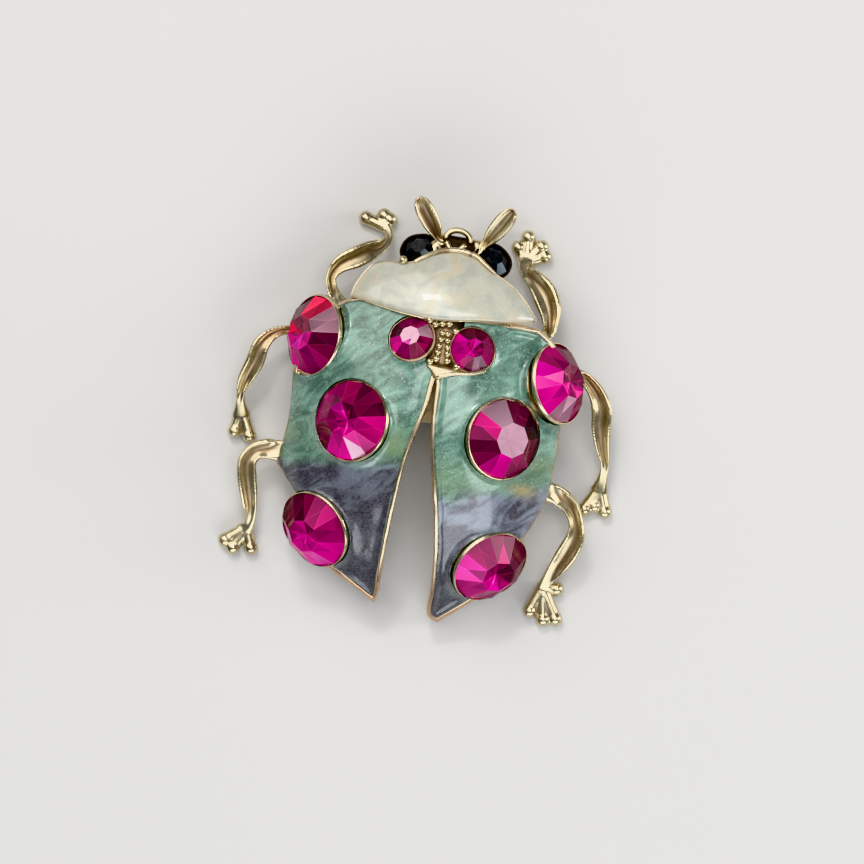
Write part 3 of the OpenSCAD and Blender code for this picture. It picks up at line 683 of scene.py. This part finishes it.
def gold_material(name, light, deep, rough, waves=0.20):
    """Pale aged gold, brown and dull in its hollows as patina and painted shade, black in painted deep
    shade.
    """
    material, tree, shader = surface_material(name, light, 1.0, rough)
    link = tree.links.new
    cloud = remap(tree, noise(tree, 2.2, 4, 0.6), 0.35, 0.7)
    worn = mix(tree, times(tree, cloud, 0.35), light, deep)
    worn = mix(tree, attribute(tree, "copper"), worn, COPPER)
    # The hollow mark paints brown patina with shade into the hollows, and past 1.1 the black of deep shade
    hollow = remap(tree, attribute(tree, "hollow"), 0.1, 1.0)
    dark = mix(tree, times(tree, hollow, 0.85), worn, PATINA_AND_SHADE_BROWN)
    shade_black_share = remap(tree, attribute(tree, "hollow"), 1.1, 2.0)
    link(mix(tree, shade_black_share, dark, SHADE_BLACK), shader.inputs["Base Color"])
    dull = remap(tree, noise(tree, 1.4, 1), 0.3, 0.7, rough - 0.04, rough + 0.08)
    link(math_node(tree, "ADD", dull, times(tree, hollow, 0.18)), shader.inputs["Roughness"])
    link(bump(tree, noise(tree, 1.6, 0.5), waves, 0.12), shader.inputs["Normal"])
    return material


def pearl_material(name, mean, build, glint, sheen, coat, gloss, glitter):
    """Glossy pearl enamel: flakes under a clear coat, a few of them painted with glints. build gives its
    colour.
    """
    material, tree, shader = surface_material(
        name, mean, sheen, 0.38, Coat_Weight=coat, Coat_Roughness=gloss, Coat_IOR=1.5)
    link = tree.links.new
    flakes = node(tree, "TexVoronoi", {"Scale": 1.0})
    link(places(tree, 0.125), flakes.inputs["Vector"])
    apart = node(tree, "SeparateColor")
    link(flakes.outputs["Color"], apart.inputs["Color"])
    # Painted glints: a few flakes, fewer in the blue, are mixed toward the glint colour
    crowd = remap(tree, noise(tree, 2.0, 2, 0.5), 0.42, 0.62, 0.15, 1.0)
    crowd = math_node(tree, "SUBTRACT", crowd, times(tree, attribute(tree, "blue"), 0.75))
    crowd = math_node(tree, "MAXIMUM", crowd, 0.05)
    spark = times(tree, remap(tree, apart.outputs["Red"], 0.84, 0.98), crowd)
    shimmer = remap(tree, apart.outputs["Blue"], 0.0, 1.0, 0.0, 0.11)
    color = mix(tree, shimmer, build(tree), glint)
    link(mix(tree, times(tree, spark, glitter), color, glint), shader.inputs["Base Color"])
    link(bump(tree, apart.outputs["Green"], 0.25, 0.012), shader.inputs["Normal"])
    swell = bump(tree, noise(tree, 1.6, 2), 0.25, 0.10)
    link(bump(tree, noise(tree, 0.35, 2), 0.18, 0.02, swell), shader.inputs["Coat Normal"])
    return material


# Tones of the gold's hollows (brown patina with painted shade, and the black of painted deep shade)
# and tips, of the green and blue enamel, and of the white
PATINA_AND_SHADE_BROWN = (0.23, 0.142, 0.090)
SHADE_BLACK = (0.026, 0.017, 0.012)
COPPER = (0.50, 0.29, 0.19)
GREEN_LIGHT = (0.185, 0.355, 0.275)
GREEN_MID = (0.108, 0.235, 0.172)
GREEN_DARK = (0.044, 0.118, 0.080)
OLIVE = (0.165, 0.255, 0.120)
BLUE_LIGHT = (0.188, 0.208, 0.262)
BLUE_DARK = (0.043, 0.030, 0.053)
TIP_DARK = (0.019, 0.009, 0.021)
AMBER = (0.42, 0.33, 0.13)
CREAM_SHADED = (0.41, 0.42, 0.355)
CREAM_LIGHT = (0.52, 0.52, 0.43)
CREAM_WARM = (0.56, 0.46, 0.31)
CREAM_EDGE = (0.36, 0.30, 0.20)


def wing_colour(tree):
    cloud = noise(tree, 4.5, 2, 0.8)
    sweep = noise(tree, 1.9, 3, 2.6, (2.8, 1, 2), 42)
    both = math_node(tree, "ADD", times(tree, cloud, 0.45), times(tree, sweep, 0.55))
    green = mix(tree, remap(tree, both, 0.40, 0.50), GREEN_DARK, GREEN_MID)
    green = mix(tree, remap(tree, both, 0.50, 0.60), green, GREEN_LIGHT)
    blue = mix(tree, remap(tree, both, 0.44, 0.58), BLUE_DARK, BLUE_LIGHT)
    green = mix(tree, attribute(tree, "olive"), green, OLIVE)
    blue = mix(tree, attribute(tree, "tip"), blue, TIP_DARK)
    body = mix(tree, attribute(tree, "blue"), green, blue)
    body = mix(tree, attribute(tree, "amber"), body, AMBER)
    # Painted shade: darker patches along the enamel's edges
    return mix(tree, attribute(tree, "edge"), body, tuple(0.5 * c for c in GREEN_DARK))


def shield_colour(tree):
    cloud = noise(tree, 2.8, 3, 1.5)
    cream = mix(tree, remap(tree, cloud, 0.35, 0.60), CREAM_SHADED, CREAM_LIGHT)
    cream = mix(tree, remap(tree, noise(tree, 3.6, 2, 1.0), 0.48, 0.75), cream, CREAM_WARM)
    # Painted shade: darker and browner along the enamel's edge
    return mix(tree, attribute(tree, "edge"), cream, CREAM_EDGE)


gold = gold_material("pale_gold", (0.71, 0.63, 0.42), (0.36, 0.26, 0.145), 0.26)
rim_gold = gold_material("rim_gold", (0.76, 0.66, 0.46), (0.38, 0.25, 0.15), 0.26, 0.12)
wing_enamel = pearl_material("pearl_green", GREEN_MID, wing_colour, (0.62, 0.71, 0.68),
                             0.15, 1.0, 0.11, 0.42)
shield_enamel = pearl_material("pearl_white", (0.58, 0.58, 0.52), shield_colour, (0.76, 0.77, 0.72),
                               0.06, 0.8, 0.05, 0.25)


def stone_material(name, mean, metallic, roughness):
    """Polished glass over foil: the foil leans its own way in each facet; each face's colour, with its
    reflections and shade painted in, comes from its points.
    """
    material, tree, shader = surface_material(
        name, mean, metallic, roughness, Specular_IOR_Level=0.0,
        Coat_Weight=0.5, Coat_Roughness=0.0, Coat_IOR=1.5)
    link = tree.links.new
    link(attribute(tree, "tone", "Color"), shader.inputs["Base Color"])
    lean = node(tree, "VectorTransform", vector_type="NORMAL", convert_from="OBJECT", convert_to="WORLD")
    link(attribute(tree, "lean", "Vector"), lean.inputs[0])
    link(lean.outputs[0], shader.inputs["Normal"])
    link(node(tree, "NewGeometry").outputs["True Normal"], shader.inputs["Coat Normal"])
    return material


cut_magenta = stone_material("cut_magenta", (0.55, 0.0, 0.18), 0.5, 0.32)
cut_black = stone_material("cut_black", (0.008, 0.008, 0.010), 0.2, 0.20)
# The pin's gold, painted darker as if in shade
pin_gold_shaded = gold_material("pin_gold_shaded", (0.52, 0.43, 0.28), (0.30, 0.20, 0.11), 0.36)


# Seats of the stones
def seat_axes(lean, turn, at):
    """A seat's axes and its place: leant by lean toward the direction turn."""
    cos_lean, sin_lean, cos_turn, sin_turn = (
        f(radians(v)) for v in (lean, turn) for f in (cos, sin))
    axes = np.array([(cos_turn * cos_lean, -sin_turn, cos_turn * sin_lean),
                     (sin_turn * cos_lean, cos_turn, sin_turn * sin_lean), (-sin_lean, 0, cos_lean)])
    return axes, np.array(at, float)


def stone_seat(row):
    x, y = in_plan(row[:2])
    sx, sy = slopes(x, y)
    lean = degrees(atan(hypot(sx, sy))) + row[3]
    turn = degrees(atan2(-sy, -sx)) + row[4]
    axes, at = seat_axes(lean, turn, (x, y, back_z(x, y)))
    return axes, at + axes @ (0, 0, GIRDLE_LIFT)


def head_point(row):
    """A place from its shares of half_w, half_l and hip_h."""
    return np.array(row[:3]) * (HALF_W, HALF_L, HIP_H)


def eye_seat(row):
    return seat_axes(row[3], row[4], head_point(row))


def placer(seat):
    axes, at = seat
    return lambda points: points @ axes.T + at


# A stone's sizes as shares of its diameter
CROWN_H, TABLE_R, GIRDLE_T, PAVILION_H, FLOOR_R = 0.22, 0.225, 0.06, 0.27, 0.31
COS_MID = cos(pi / 8)
DIP = CROWN_H / ((0.5 - TABLE_R) * COS_MID) * 0.5 * (1 - COS_MID)
DROP = DIP + GIRDLE_T / 2


def facets(d, spin, turn, crown, table, seed):
    """The faces of a cut stone as corners, colour and lean, split as its depth shows them; the colours
    paint the stone's reflections and shade.
    """
    rng = np.random.default_rng(seed)

    def at(r, z, angle):
        a = radians(spin + angle)
        return d * np.array((r * cos(a), r * sin(a), z))

    def tone(codes, angle):
        k = int(round(((turn + spin + angle) % 360) / 45)) % 8
        return codes[k]

    culet = d * np.array((-0.35 * TABLE_R, 0, CROWN_H))
    out = []
    for i in range(8):
        a, b = 45 * i, 45 * (i + 1)
        mid = a + 22.5
        rim = [at(0.5, -DIP * (k % 2), a + 22.5 * k) for k in range(3)]
        low = [at(0.5, -DROP, a + 22.5 * k) for k in range(3)]
        edge = (at(TABLE_R, CROWN_H, a), at(TABLE_R, CROWN_H, b))
        code = tone(crown, mid)
        if code == "w":
            out.append(((edge[0], *rim, edge[1]), code, 0))
        else:
            foot = rim[1] + rng.uniform(-0.25, 0.25) * (rim[2] - rim[0])
            foot = rim[1] + 0.35 * (edge[0] + edge[1] - 2 * rim[1]) / 2 + 0.2 * (foot - rim[1])
            one, two = ("w", "b") if code == "x" else (code, code)
            out += [((edge[0], foot, edge[1]), two, 1), ((edge[0], rim[0], rim[1], foot), one, one != "w"),
                    ((edge[1], foot, rim[1], rim[2]), two, 1)]
        code = tone(table, mid)
        inner = [culet + 0.55 * (e - culet) for e in edge]
        spot = inner[0] + rng.uniform(0.3, 0.7) * (inner[1] - inner[0])
        if code == "w":
            out.append(((culet, *edge), code, 0))
        else:
            out += [((culet, inner[0], spot), code, 1), ((culet, spot, inner[1]), code, 1),
                    ((inner[0], edge[0], spot), code, 1), ((spot, edge[0], edge[1]), code, 1),
                    ((inner[1], spot, edge[1]), code, 1)]
        out += [((rim[k], low[k], low[k + 1], rim[k + 1]), "m", 0) for k in (0, 1)]
        out.append(((low[0], low[1], low[2], d * np.array((0, 0, -DROP - PAVILION_H))), "d", 0))
    return out, rng


def cut_stone(name, d, spin, seat, crown, table, tones, material, seed):
    """A stone whose faces each have a colour of their own, with its reflections and shade painted in, and a
    lean of the foil below.
    """
    axes = seat[0]
    turn = degrees(atan2(axes[1, 0], axes[0, 0]))
    points, faces, colours, leans = [], [], [], []
    split, rng = facets(d, spin, turn, crown, table, seed)
    for corners, code, busy in split:
        corners = np.array(corners)
        middle = corners.mean(0)
        normal = unit(np.cross(corners[1] - corners[0], corners[2] - corners[0]))
        if normal @ (middle - (0, 0, -0.3 * d)) < 0:
            corners, normal = corners[::-1], -normal
        base = np.array(tones[code]) * (rng.uniform(0.55, 1.35) if busy else 1)
        lean = normal + (rng.uniform(-0.45, 0.45, 3) if busy else 0)
        slope = rng.uniform(-0.5, 0.5, 2)
        start = len(points)
        small = middle + (corners - middle) * 0.90
        n = len(corners)
        # Painted highlights: the strip round each busy face is lighter, with pale added
        for k, p in enumerate(np.concatenate([small, small, corners])):
            shade = 1 + float(slope @ (p - middle)[:2]) / (0.25 * d)
            if k < n:
                colour = base * shade
            else:
                colour = base * shade * (1.0, 1.25)[busy] + 0.05 * np.array(tones["w"]) * busy
            points.append(p)
            colours.append(np.clip(colour, 0, 0.95))
            leans.append(unit(lean))
        faces.append(tuple(range(start, start + n)))
        faces += [(start + n + k, start + 2 * n + k, start + 2 * n + (k + 1) % n, start + n + (k + 1) % n)
                  for k in range(n)]
    piece = make(name, [part(placer(seat)(np.array(points)), faces)], material, smooth=False)
    mark(piece.data, "tone", np.column_stack([colours, np.ones(len(points))]), "FLOAT_COLOR", "color")
    mark(piece.data, "lean", np.array(leans) @ axes.T, "FLOAT_VECTOR", "vector")
    return piece


# The gold
def overflow(x):
    """How far the enamel runs over the rim: fully at the outer sides of the wings."""
    t = np.clip((np.abs(x) / HALF_W - 0.70) / 0.14, 0, 1)
    return t * t * (3 - 2 * t)


def rim_wave(seed, dive):
    """A rim's unevenness; it dives where the scutellum or the enamel covers it."""
    def wave(ring):
        under = np.clip(edge_distance(ring, scutellum_loop) / 0.25, 0, 1)
        sunk = 1.1 * under + np.maximum(dive, 0.28 * overflow(ring[:, 0]))
        return RIM_WAVE * lattice(ring, 1.3, seed) - sunk

    return wave


left_loop = outline(WING_LEFT, [0, 10, 17])
right_loop = outline(WING_RIGHT, [0, 11, 25])
shield_loop = outline(SHIELD, [0, 7], reach=2)
scutellum_loop = outline(SCUTELLUM, [0, 2, 3, 5], reach=1)

TOP = ENAMEL_T + RIM_UP
WING_RIM = [(0.9, -SHELL_T), (0.08, -SHELL_T), (0.0, -0.95), (0.0, TOP - 0.22), (0.04, TOP - 0.09),
            (0.12, TOP - 0.02), (0.24, TOP + 0.02), (0.36, TOP), (0.46, TOP - 0.06),
            (0.53, TOP - 0.15), (RIM_W + 0.01, 0.0), (0.9, -0.1)]
SHIELD_RIM = [(0.6, -0.9), (0.04, TRAY_FLOOR), (0.0, -0.7), (0.0, 0.04), (0.05, 0.13), (0.13, 0.17),
              (0.22, 0.13), (SHIELD_RIM_W, 0.0), (0.34, -0.4)]


def inside(loop, depth):
    return lambda p: edge_distance(p, loop) - depth


def shell(loop, surface, profile, floor, underside, seed, dive=0.0):
    """A cast tray: its rim, the floor under the enamel and the wall below."""
    points, faces = band(loop, profile, surface, rim_wave(seed, dive))
    parts = [part(points, faces, copper=np.clip((COPPER_Y - points[:, 1]) / COPPER_RUN, 0.06, 0.65))]
    flat, faces, _ = cut_grid(inside(loop, 0.25), loop, TRAY_CELL)
    parts.append(part(raised(flat, surface, floor), faces))
    parts.append(part(raised(flat, surface, underside), [f[::-1] for f in faces]))
    return parts


cast("wing_frame_left", shell(left_loop, over_back, WING_RIM, 0.0, -SHELL_T, 11), rim_gold)
cast("wing_frame_right", shell(right_loop, over_back, WING_RIM, 0.0, -SHELL_T, 12), rim_gold)
cast("shield_frame", shell(shield_loop, over_shield, SHIELD_RIM, -ENAMEL_T, TRAY_FLOOR, 13, 0.35),
     rim_gold)


def setting(d, place, seed, darkening, open_by=0.0):
    """A cup with a thin, slightly uneven bezel, pressed down on the side it leans to."""
    r = d / 2
    rng = np.random.default_rng(seed)
    phase = rng.uniform(0, 2 * pi, 6)
    size = rng.uniform(0.3, 1.0, 6)

    def wobble(ring, k):
        if k < 3:
            return 0, 0
        wave = sum(size[n] * np.sin((n + 2) * ring + phase[n]) for n in range(6)) / 3
        low = open_by * (0.5 + 0.5 * np.cos(ring)) ** 1.5 * (k < 9)
        return 0.035 * wave - 1.6 * low * max(profile[k][0] - r - 0.03, 0), 0.05 * wave - low

    profile = [(0.02, -(DROP + PAVILION_H) * d - BEZEL_T),
               (FLOOR_R * d, -(DROP + PAVILION_H) * d - BEZEL_T),
               (r + BEZEL_T - 0.02, -DROP * d),
               (r + BEZEL_T, 0.0), (r + BEZEL_T - 0.08, RIM_UP - 0.06),
               (r + 0.18, RIM_UP + 0.01), (r + 0.10, RIM_UP + 0.01), (r + 0.03, RIM_UP - 0.05),
               (r + 0.02, -0.1), (r + 0.03, -0.7)]
    return turned(profile, 72, place, wobble, hollow=darkening)


# The bezels of the small stones are painted brown and those of the eyes black, through the hollow mark
settings = [setting(row[2], placer(stone_seat(row)), 20 + k, 0.75 * (row[2] < STONE_D), 0.055 * row[2])
            for k, row in enumerate(STONES.values())]
settings += [setting(EYE_D, placer(eye_seat(row)), 40 + k, 2.0) for k, row in enumerate(EYES.values())]
cast("stone_settings", settings, rim_gold, 50)

# The two posts that carry the pin's bar
posts = []
for side in (-1, 1):
    x, y = side * POST_AT[0] * HALF_W, POST_AT[1] * HALF_L
    profile = [(0.02, POST_FOOT), (POST_D / 2 - 0.1, POST_FOOT), (POST_D / 2, POST_FOOT + 0.1),
               (POST_D / 2, back_z(x, y) - SHELL_T / 2)]
    posts.append(turned(profile, 32, lambda p, x=x, y=y: p + (x, y, 0)))
cast("pin_posts", posts, gold, 40)


def leg_point(side, out, along, z):
    """A place out past half_w by a share of leg_reach, and along by a share of half_l."""
    return (side * (HALF_W + out * LEG_REACH), along * HALF_L, z)


def blade(rows, place, width, thickness, section, outer=1, deep=1.0, run_out=0.16):
    """A bar hollowed by deep, with soft ends; a row's last two shares are of width and thickness."""
    fine = bend_rows(rows, 8)
    path = np.array([place(r) for r in fine])
    t = np.linspace(0, 1, len(fine))
    groove = deep * np.clip(np.minimum(t / 0.16, (1 - t) / run_out), 0, 1)
    return swept(path, fine[:, -2] * width, fine[:, -1] * thickness, groove, section, outer)


for name, (side, hip, rows, toes) in LEGS.items():
    place = lambda row: leg_point(side, row[0], row[1], row[2] * HIP_H)
    outer = side if "front" in name else -side
    parts = [blade(rows, place, LEG_W, LEG_T, LEG, outer, 0.9, 0.30)]
    for a, b, c, d in toes:
        end = leg_point(side, c, d, 0.62 * TOE_D)
        parts.append(drop(leg_point(side, a, b, 0.75 * TOE_D), 1.15 * TOE_D, end, 1.2 * TOE_D))
        parts.append(ball((*end[:2], 0.68 * TOE_D), 1.36 * TOE_D))
    top = in_plan(hip)
    high = back_z(*top) - SHELL_T * plumb(*top) + 0.1
    parts.append(drop(place(rows[0]), LEG_T, (*top, high), LEG_T))
    fuse(name, parts, gold, LIMB_GRAIN)

for name, (start, compass) in ANTENNAE.items():
    root = in_plan(start)
    ahead = np.array((cos(radians(compass)), sin(radians(compass))))

    def along(row):
        return (*(root + row[0] * ANTENNA_L * ahead), 1.28 * HIP_H + row[1] * ANTENNA_L)

    def shaded_side(p):
        """Painted shade in the hollow of the left antenna, on the side away from the other."""
        x, y = (p[:, :2] - root).T
        across = x * ahead[1] - y * ahead[0]
        far = (x * ahead[0] + y * ahead[1]) / ANTENNA_L
        return 0.9 * (root[0] < 0) * np.clip((0.1 - across) / 0.3, 0, 1) * np.clip((0.85 - far) / 0.1, 0, 1)

    fuse(name, [blade(ANTENNA_ROWS, along, 1.1 * LEG_W, LEG_T, LEAF)], gold, FINE_GRAIN, 6, shaded_side)

# The head: balls under its skin, the curled mouth and the ribs behind it
HEAD_FRONT = [(-0.24, 0.87, 1.2, 0.59), (0.18, 0.88, 1.2, 0.59),
              (-0.14, 0.96, 1.2, 0.35), (0.10, 0.965, 1.2, 0.35)]
HEAD_BACK = [(-0.2, 0.8, 1.36, 0.7), (0.14, 0.82, 1.36, 0.7), (-0.03, 0.9, 1.28, 0.47)]
MOUTH_MIDDLE = (-0.045, 0.97, 1.32)
MOUTH_RIBS = [((-0.115, 0.945, 1.38), (-0.075, 0.905, 1.42)),
              ((0.005, 0.945, 1.38), (-0.045, 0.905, 1.42))]
# The mouth's opening: its middle, its half sizes and the height below which it is painted black with shade
MOUTH_HOLE = (-0.6, 19.0)
MOUTH_HALF = (1.9, 1.3)
MOUTH_SHADE_Z = 6.95
# A small stub beside the head, as places on the shield
STUB = [(-5.6, 16.1, -0.3), (-5.55, 16.3, 0.25)]

parts = []
for group in (HEAD_FRONT, HEAD_BACK):
    for k, a in enumerate(group):
        for b in group[k + 1:]:
            parts.append(drop(head_point(a), a[3] * EYE_D, head_point(b), b[3] * EYE_D))
arch = [head_point(MOUTH_MIDDLE) + HALF_W * np.array((0.09 * cos(a), 0.072 * sin(a), 0))
        for a in np.radians(np.arange(175, 4, -17))]
parts += rope(arch, [BEAD_D] * len(arch))
parts += rope([(x, y, over_shield(x, y, h)) for x, y, h in STUB], (0.8, 0.9))
for a, b in MOUTH_RIBS:
    parts.append(drop(head_point(a), BEAD_D, head_point(b), BEAD_D))


def mouth_shade(p):
    """Painted shade: the mouth's opening painted black below the bars round it."""
    inner = (((p[:, :2] - MOUTH_HOLE) / MOUTH_HALF) ** 2).sum(1)
    return 3.0 * np.clip((1 - inner) / 0.3, 0, 1) * np.clip((MOUTH_SHADE_Z - p[:, 2]) / 0.15, 0, 1)


fuse("head", parts, gold, FINE_GRAIN, 5, mouth_shade)

# The lip of the head plate along the shield's front
path = bend_rows(in_plan([(-0.315, 0.818), (-0.25, 0.852), (-0.15, 0.895), (-0.03, 0.914),
                          (0.10, 0.902), (0.18, 0.868), (0.25, 0.838)]), 5)
thick = 0.30 + 0.28 * np.sin(np.linspace(0, pi, len(path))) ** 0.7
# Its two brown places, painted shade of a sunk place and of a gap: the middle of each, and half its width
LIP_BROAD = (-1.9, 0.9)
LIP_NARROW = (0.9, 0.3)


def lip_shade(p):
    broad = np.exp(-((p[:, 0] - LIP_BROAD[0]) / LIP_BROAD[1]) ** 4)
    return 1.9 * broad + 1.8 * hump(p[:, 0], *LIP_NARROW)


fuse("shield_lip", rope(raised(path, over_shield, 0.10), thick), rim_gold, FINE_GRAIN, 6, lip_shade)

# The scutellum: a smooth plate behind a sunk ground painted dark with shade, two rows of tiny
# beads, single balls, and the rim under the small stone
GROUND_Y = 0.335 * HALF_L


def ground(p):
    return 1 / (1 + np.exp(-(p[:, 1] - GROUND_Y) / 0.08))


def ground_height(p):
    return TOP + 0.10 - 0.42 * ground(p) - 0.12 * fade(edge_distance(p, scutellum_loop), 0.2)


# The hollow mark paints shade on the sunk ground, brown to black and lighter down its middle
parts = [sheet(inside(scutellum_loop, 0.0), over_back, scutellum_loop, GROUND_CELL, ground_height, 0.5,
               hollow=lambda p: 0.25 + ground(p) * (1.75 - 0.9 * hump(p[:, 0], -0.1, 0.7)))]
# Each pair of beads stands wider and further right, the nearer it is to the tail
spots = []
for k in range(5):
    for side in (-1, 1):
        x = -0.11 + 0.04 * (4 - k) + side * (0.27 + 0.07 * (4 - k))
        spots.append((x, 0.365 * HALF_L + k * 1.04 * BEAD_D, (1.18 - 0.04 * k) * BEAD_D))
spots += [(*place, 1.2 * BEAD_D) for place in in_plan(
    [(-0.13, 0.545), (-0.085, 0.53), (-0.039, 0.539), (0.009, 0.543), (0.062, 0.515),
     (0.115, 0.345), (-0.075, 0.345)])]
for x, y, d in spots:
    parts.append(ball((x, y, over_back(x, y, TOP)), d))
cast("scutellum_beads", parts, gold)

path = bend_rows(in_plan([(0.01, 0.285), (0.12, 0.312), (0.22, 0.325), (0.31, 0.35)]), 4)
fuse("small_stone_rim", rope(raised(path, over_back, TOP), [0.45] * len(path)), rim_gold, FINE_GRAIN, 6)


# The enamel
# The middle and the half sizes of the amber spot beside the right wing's edge
AMBER_AT = (10.4, -3.8)
AMBER_HALF = (1.2, 0.6)


def off_setting(points, h, row):
    """How far points over the back lie from a stone's setting, and how high over its girdle."""
    axes, at = stone_seat(row)
    local = (raised(points, over_back, h) - at) @ axes
    return np.hypot(local[:, 0], local[:, 1]) - (row[2] / 2 + 0.7 * BEZEL_T), local[:, 2]


def rim_shown(p):
    """The width of gold that shows outside the enamel: uneven, and hardly any at the sides."""
    return RIM_SHOWN * (1 - 0.82 * overflow(p[:, 0])) + 0.07 * lattice(p, 1.4, 90)


def wing_field(loop, names):
    def field(p):
        parts = [edge_distance(p, loop) - rim_shown(p),
                 -edge_distance(p, scutellum_loop),
                 -edge_distance(p, shield_loop)]
        parts += [off_setting(p, ENAMEL_T, STONES[n])[0] for n in names]
        return np.min(parts, axis=0)

    return field


def enamel(name, loop, names, seed, tips, border, roll):
    """A wing's enamel: tips is where its dark tip starts, border where its blue starts, along at
    the middle and its slope, and roll the height of the soft roll beside its rim."""
    field = wing_field(loop, names)

    def height(p):
        rim = np.maximum(edge_distance(p, loop) - rim_shown(p), 0)
        over = overflow(p[:, 0])
        level = ENAMEL_T + 0.02 + 0.045 * lattice(p, 2.4, seed)
        level += 0.10 * (1 - over) * fade(rim, 0.20) - 0.15 * over * fade(rim, 0.35)
        level += roll * (1 - over) * hump(rim, 0.25, 0.22)
        for n in names:
            gap, deep = off_setting(p, level, STONES[n])
            level = level + np.clip(RIM_UP - 0.16 - deep, 0, 0.9) * fade(gap, 0.30)
        return level

    def blue(p):
        wavy = 0.7 * lattice(p, 3.0, seed + 5) + 0.4 * lattice(p, 1.1, seed + 6)
        return np.clip((border[0] + border[1] * p[:, 0] + wavy - p[:, 1]) / 1.5, 0, 1)

    def olive(p):
        patches = 0.5 + 0.5 * lattice(p, 1.8, seed + 8)
        above = p[:, 1] - border[0] - border[1] * p[:, 0]
        return patches * hump(above, 0.9, 1.8)

    # Painted shade: the enamel darker in patches next to the rims and the settings
    def edge(p):
        patches = 0.5 + 0.5 * lattice(p, 1.7, seed + 9)
        return 0.75 * patches * fade(field(p), 0.20) * (1 - overflow(p[:, 0]))

    def amber(p):
        return 0.8 * np.prod(hump(p, AMBER_AT, AMBER_HALF), axis=1)

    def tip(p):
        wavy = 1.2 * lattice(p, 2.6, seed + 7)
        return 0.85 * np.clip((tips + wavy - p[:, 1]) / 8.0, 0, 1)

    layer = sheet(field, over_back, loop, ENAMEL_CELL, height, 0.4,
                  blue=blue, edge=edge, amber=amber, tip=tip, olive=olive)
    declare(make(name + "_pearl", [layer], wing_enamel), "enamel_green", name)


enamel("enamel_wing_left", left_loop, [n for n in STONES if "left" in n], 60, -3.5, (-2.1, 0.17), 0.03)
enamel("enamel_wing_right", right_loop, [n for n in STONES if "right" in n], 70, -8.5, (-6.0, 0.30), 0.13)

shield_field = inside(shield_loop, 0.04)


def shield_height(p):
    d = shield_field(p)
    waves = 0.03 * lattice(p, 2.6, 81)
    return 0.09 - 0.30 * fade(d, 0.22) + 0.13 * (1 - fade(d, 1.6)) + waves


# The edge mark paints shade along the rim: darker and browner
layer = sheet(shield_field, over_shield, shield_loop, ENAMEL_CELL, shield_height, 0.3,
              edge=lambda p: 0.5 * fade(shield_field(p), 0.12))
declare(make("enamel_pronotum_pearl", [layer], shield_enamel), "enamel_white", "enamel_pronotum")


# The stones
# The eyes' tones; w, on one facet, is a painted pale reflection
BLACKS = {"k": (0.003, 0.003, 0.004), "d": (0.007, 0.008, 0.010), "m": (0.016, 0.018, 0.022),
          "w": (0.21, 0.255, 0.29)}
cuts = [("stone_" + n, r[2], r[5], stone_seat(r), r[6], r[7], TONES, cut_magenta, "stone_magenta")
        for n, r in STONES.items()]
cuts += [(n, EYE_D, 0, eye_seat(r), "dkmdkkdw", "kdmkdkmd", BLACKS, cut_black, "stone_black")
         for n, r in EYES.items()]
for k, (name, *looks, slot) in enumerate(cuts):
    declare(cut_stone(name + "_cut", *looks, 100 + k), slot, name)

pin_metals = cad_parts["pin_back"].data.materials
pin_metals.clear()
pin_metals.append(pin_gold_shaded)

# Stage, light and camera
floor_mesh = bpy.data.meshes.new("floor")
floor_mesh.from_pydata([(-1, -1, 0), (1, -1, 0), (1, 1, 0), (-1, 1, 0)], [], [(0, 1, 2, 3)])
floor = add_object("floor", floor_mesh)
floor_material, _, _ = surface_material("floor", (0.62, 0.61, 0.60), 0.0, 0.75)
floor_mesh.materials.append(floor_material)

world = bpy.data.worlds.new("studio")
world.use_nodes = True
sky = world.node_tree.nodes["Background"].inputs
sky["Color"].default_value = (0.80, 0.86, 0.95, 1)
sky["Strength"].default_value = 0.16
bpy.context.scene.world = world


def lamp(name, at, size, power, color=(1, 1, 1)):
    """A soft rectangular lamp that points at the origin."""
    data = bpy.data.lights.new(name, "AREA")
    data.shape = "RECTANGLE"
    data.size, data.size_y = size
    data.energy = power
    data.color = color
    lamp_object = add_object(name, data)
    lamp_object.location = at
    lamp_object.rotation_euler = (-Vector(at)).to_track_quat("-Z", "Y").to_euler()


lamp("key", (-0.26, 0.22, 0.36), (0.50, 0.40), 1.4, (1.0, 0.97, 0.92))
lamp("spot", (-0.108, 0.255, 0.376), (0.09, 0.045), 0.42, (1.0, 0.98, 0.95))
lamp("low", (0.10, -0.32, 0.22), (0.50, 0.20), 1.1, (0.92, 0.96, 1.0))
lamp("side", (0.38, 0.10, 0.13), (0.12, 0.30), 0.8, (1.0, 0.98, 0.95))
lamp("top", (0.02, 0.06, 0.46), (0.28, 0.22), 0.75)

# The picture shows VIEW_W millimetres at VIEW_FAR below the camera, and is turned by VIEW_TURN
VIEW_AT = (0.47, -2.39, 355)
VIEW_W = 86.4
VIEW_FAR = 350
VIEW_TURN = 11
camera_data = bpy.data.cameras.new("camera")
camera_data.sensor_fit = "HORIZONTAL"
camera_data.angle = 2 * atan(VIEW_W / 2 / VIEW_FAR)
camera_data.clip_start = 0.01
camera = add_object("camera", camera_data)
camera.location = tuple(v * MM for v in VIEW_AT)
camera.rotation_euler = (0, 0, radians(VIEW_TURN))
bpy.context.scene.camera = camera
bpy.context.scene.view_settings.view_transform = "Khronos PBR Neutral"

bpy.context.view_layer.update()
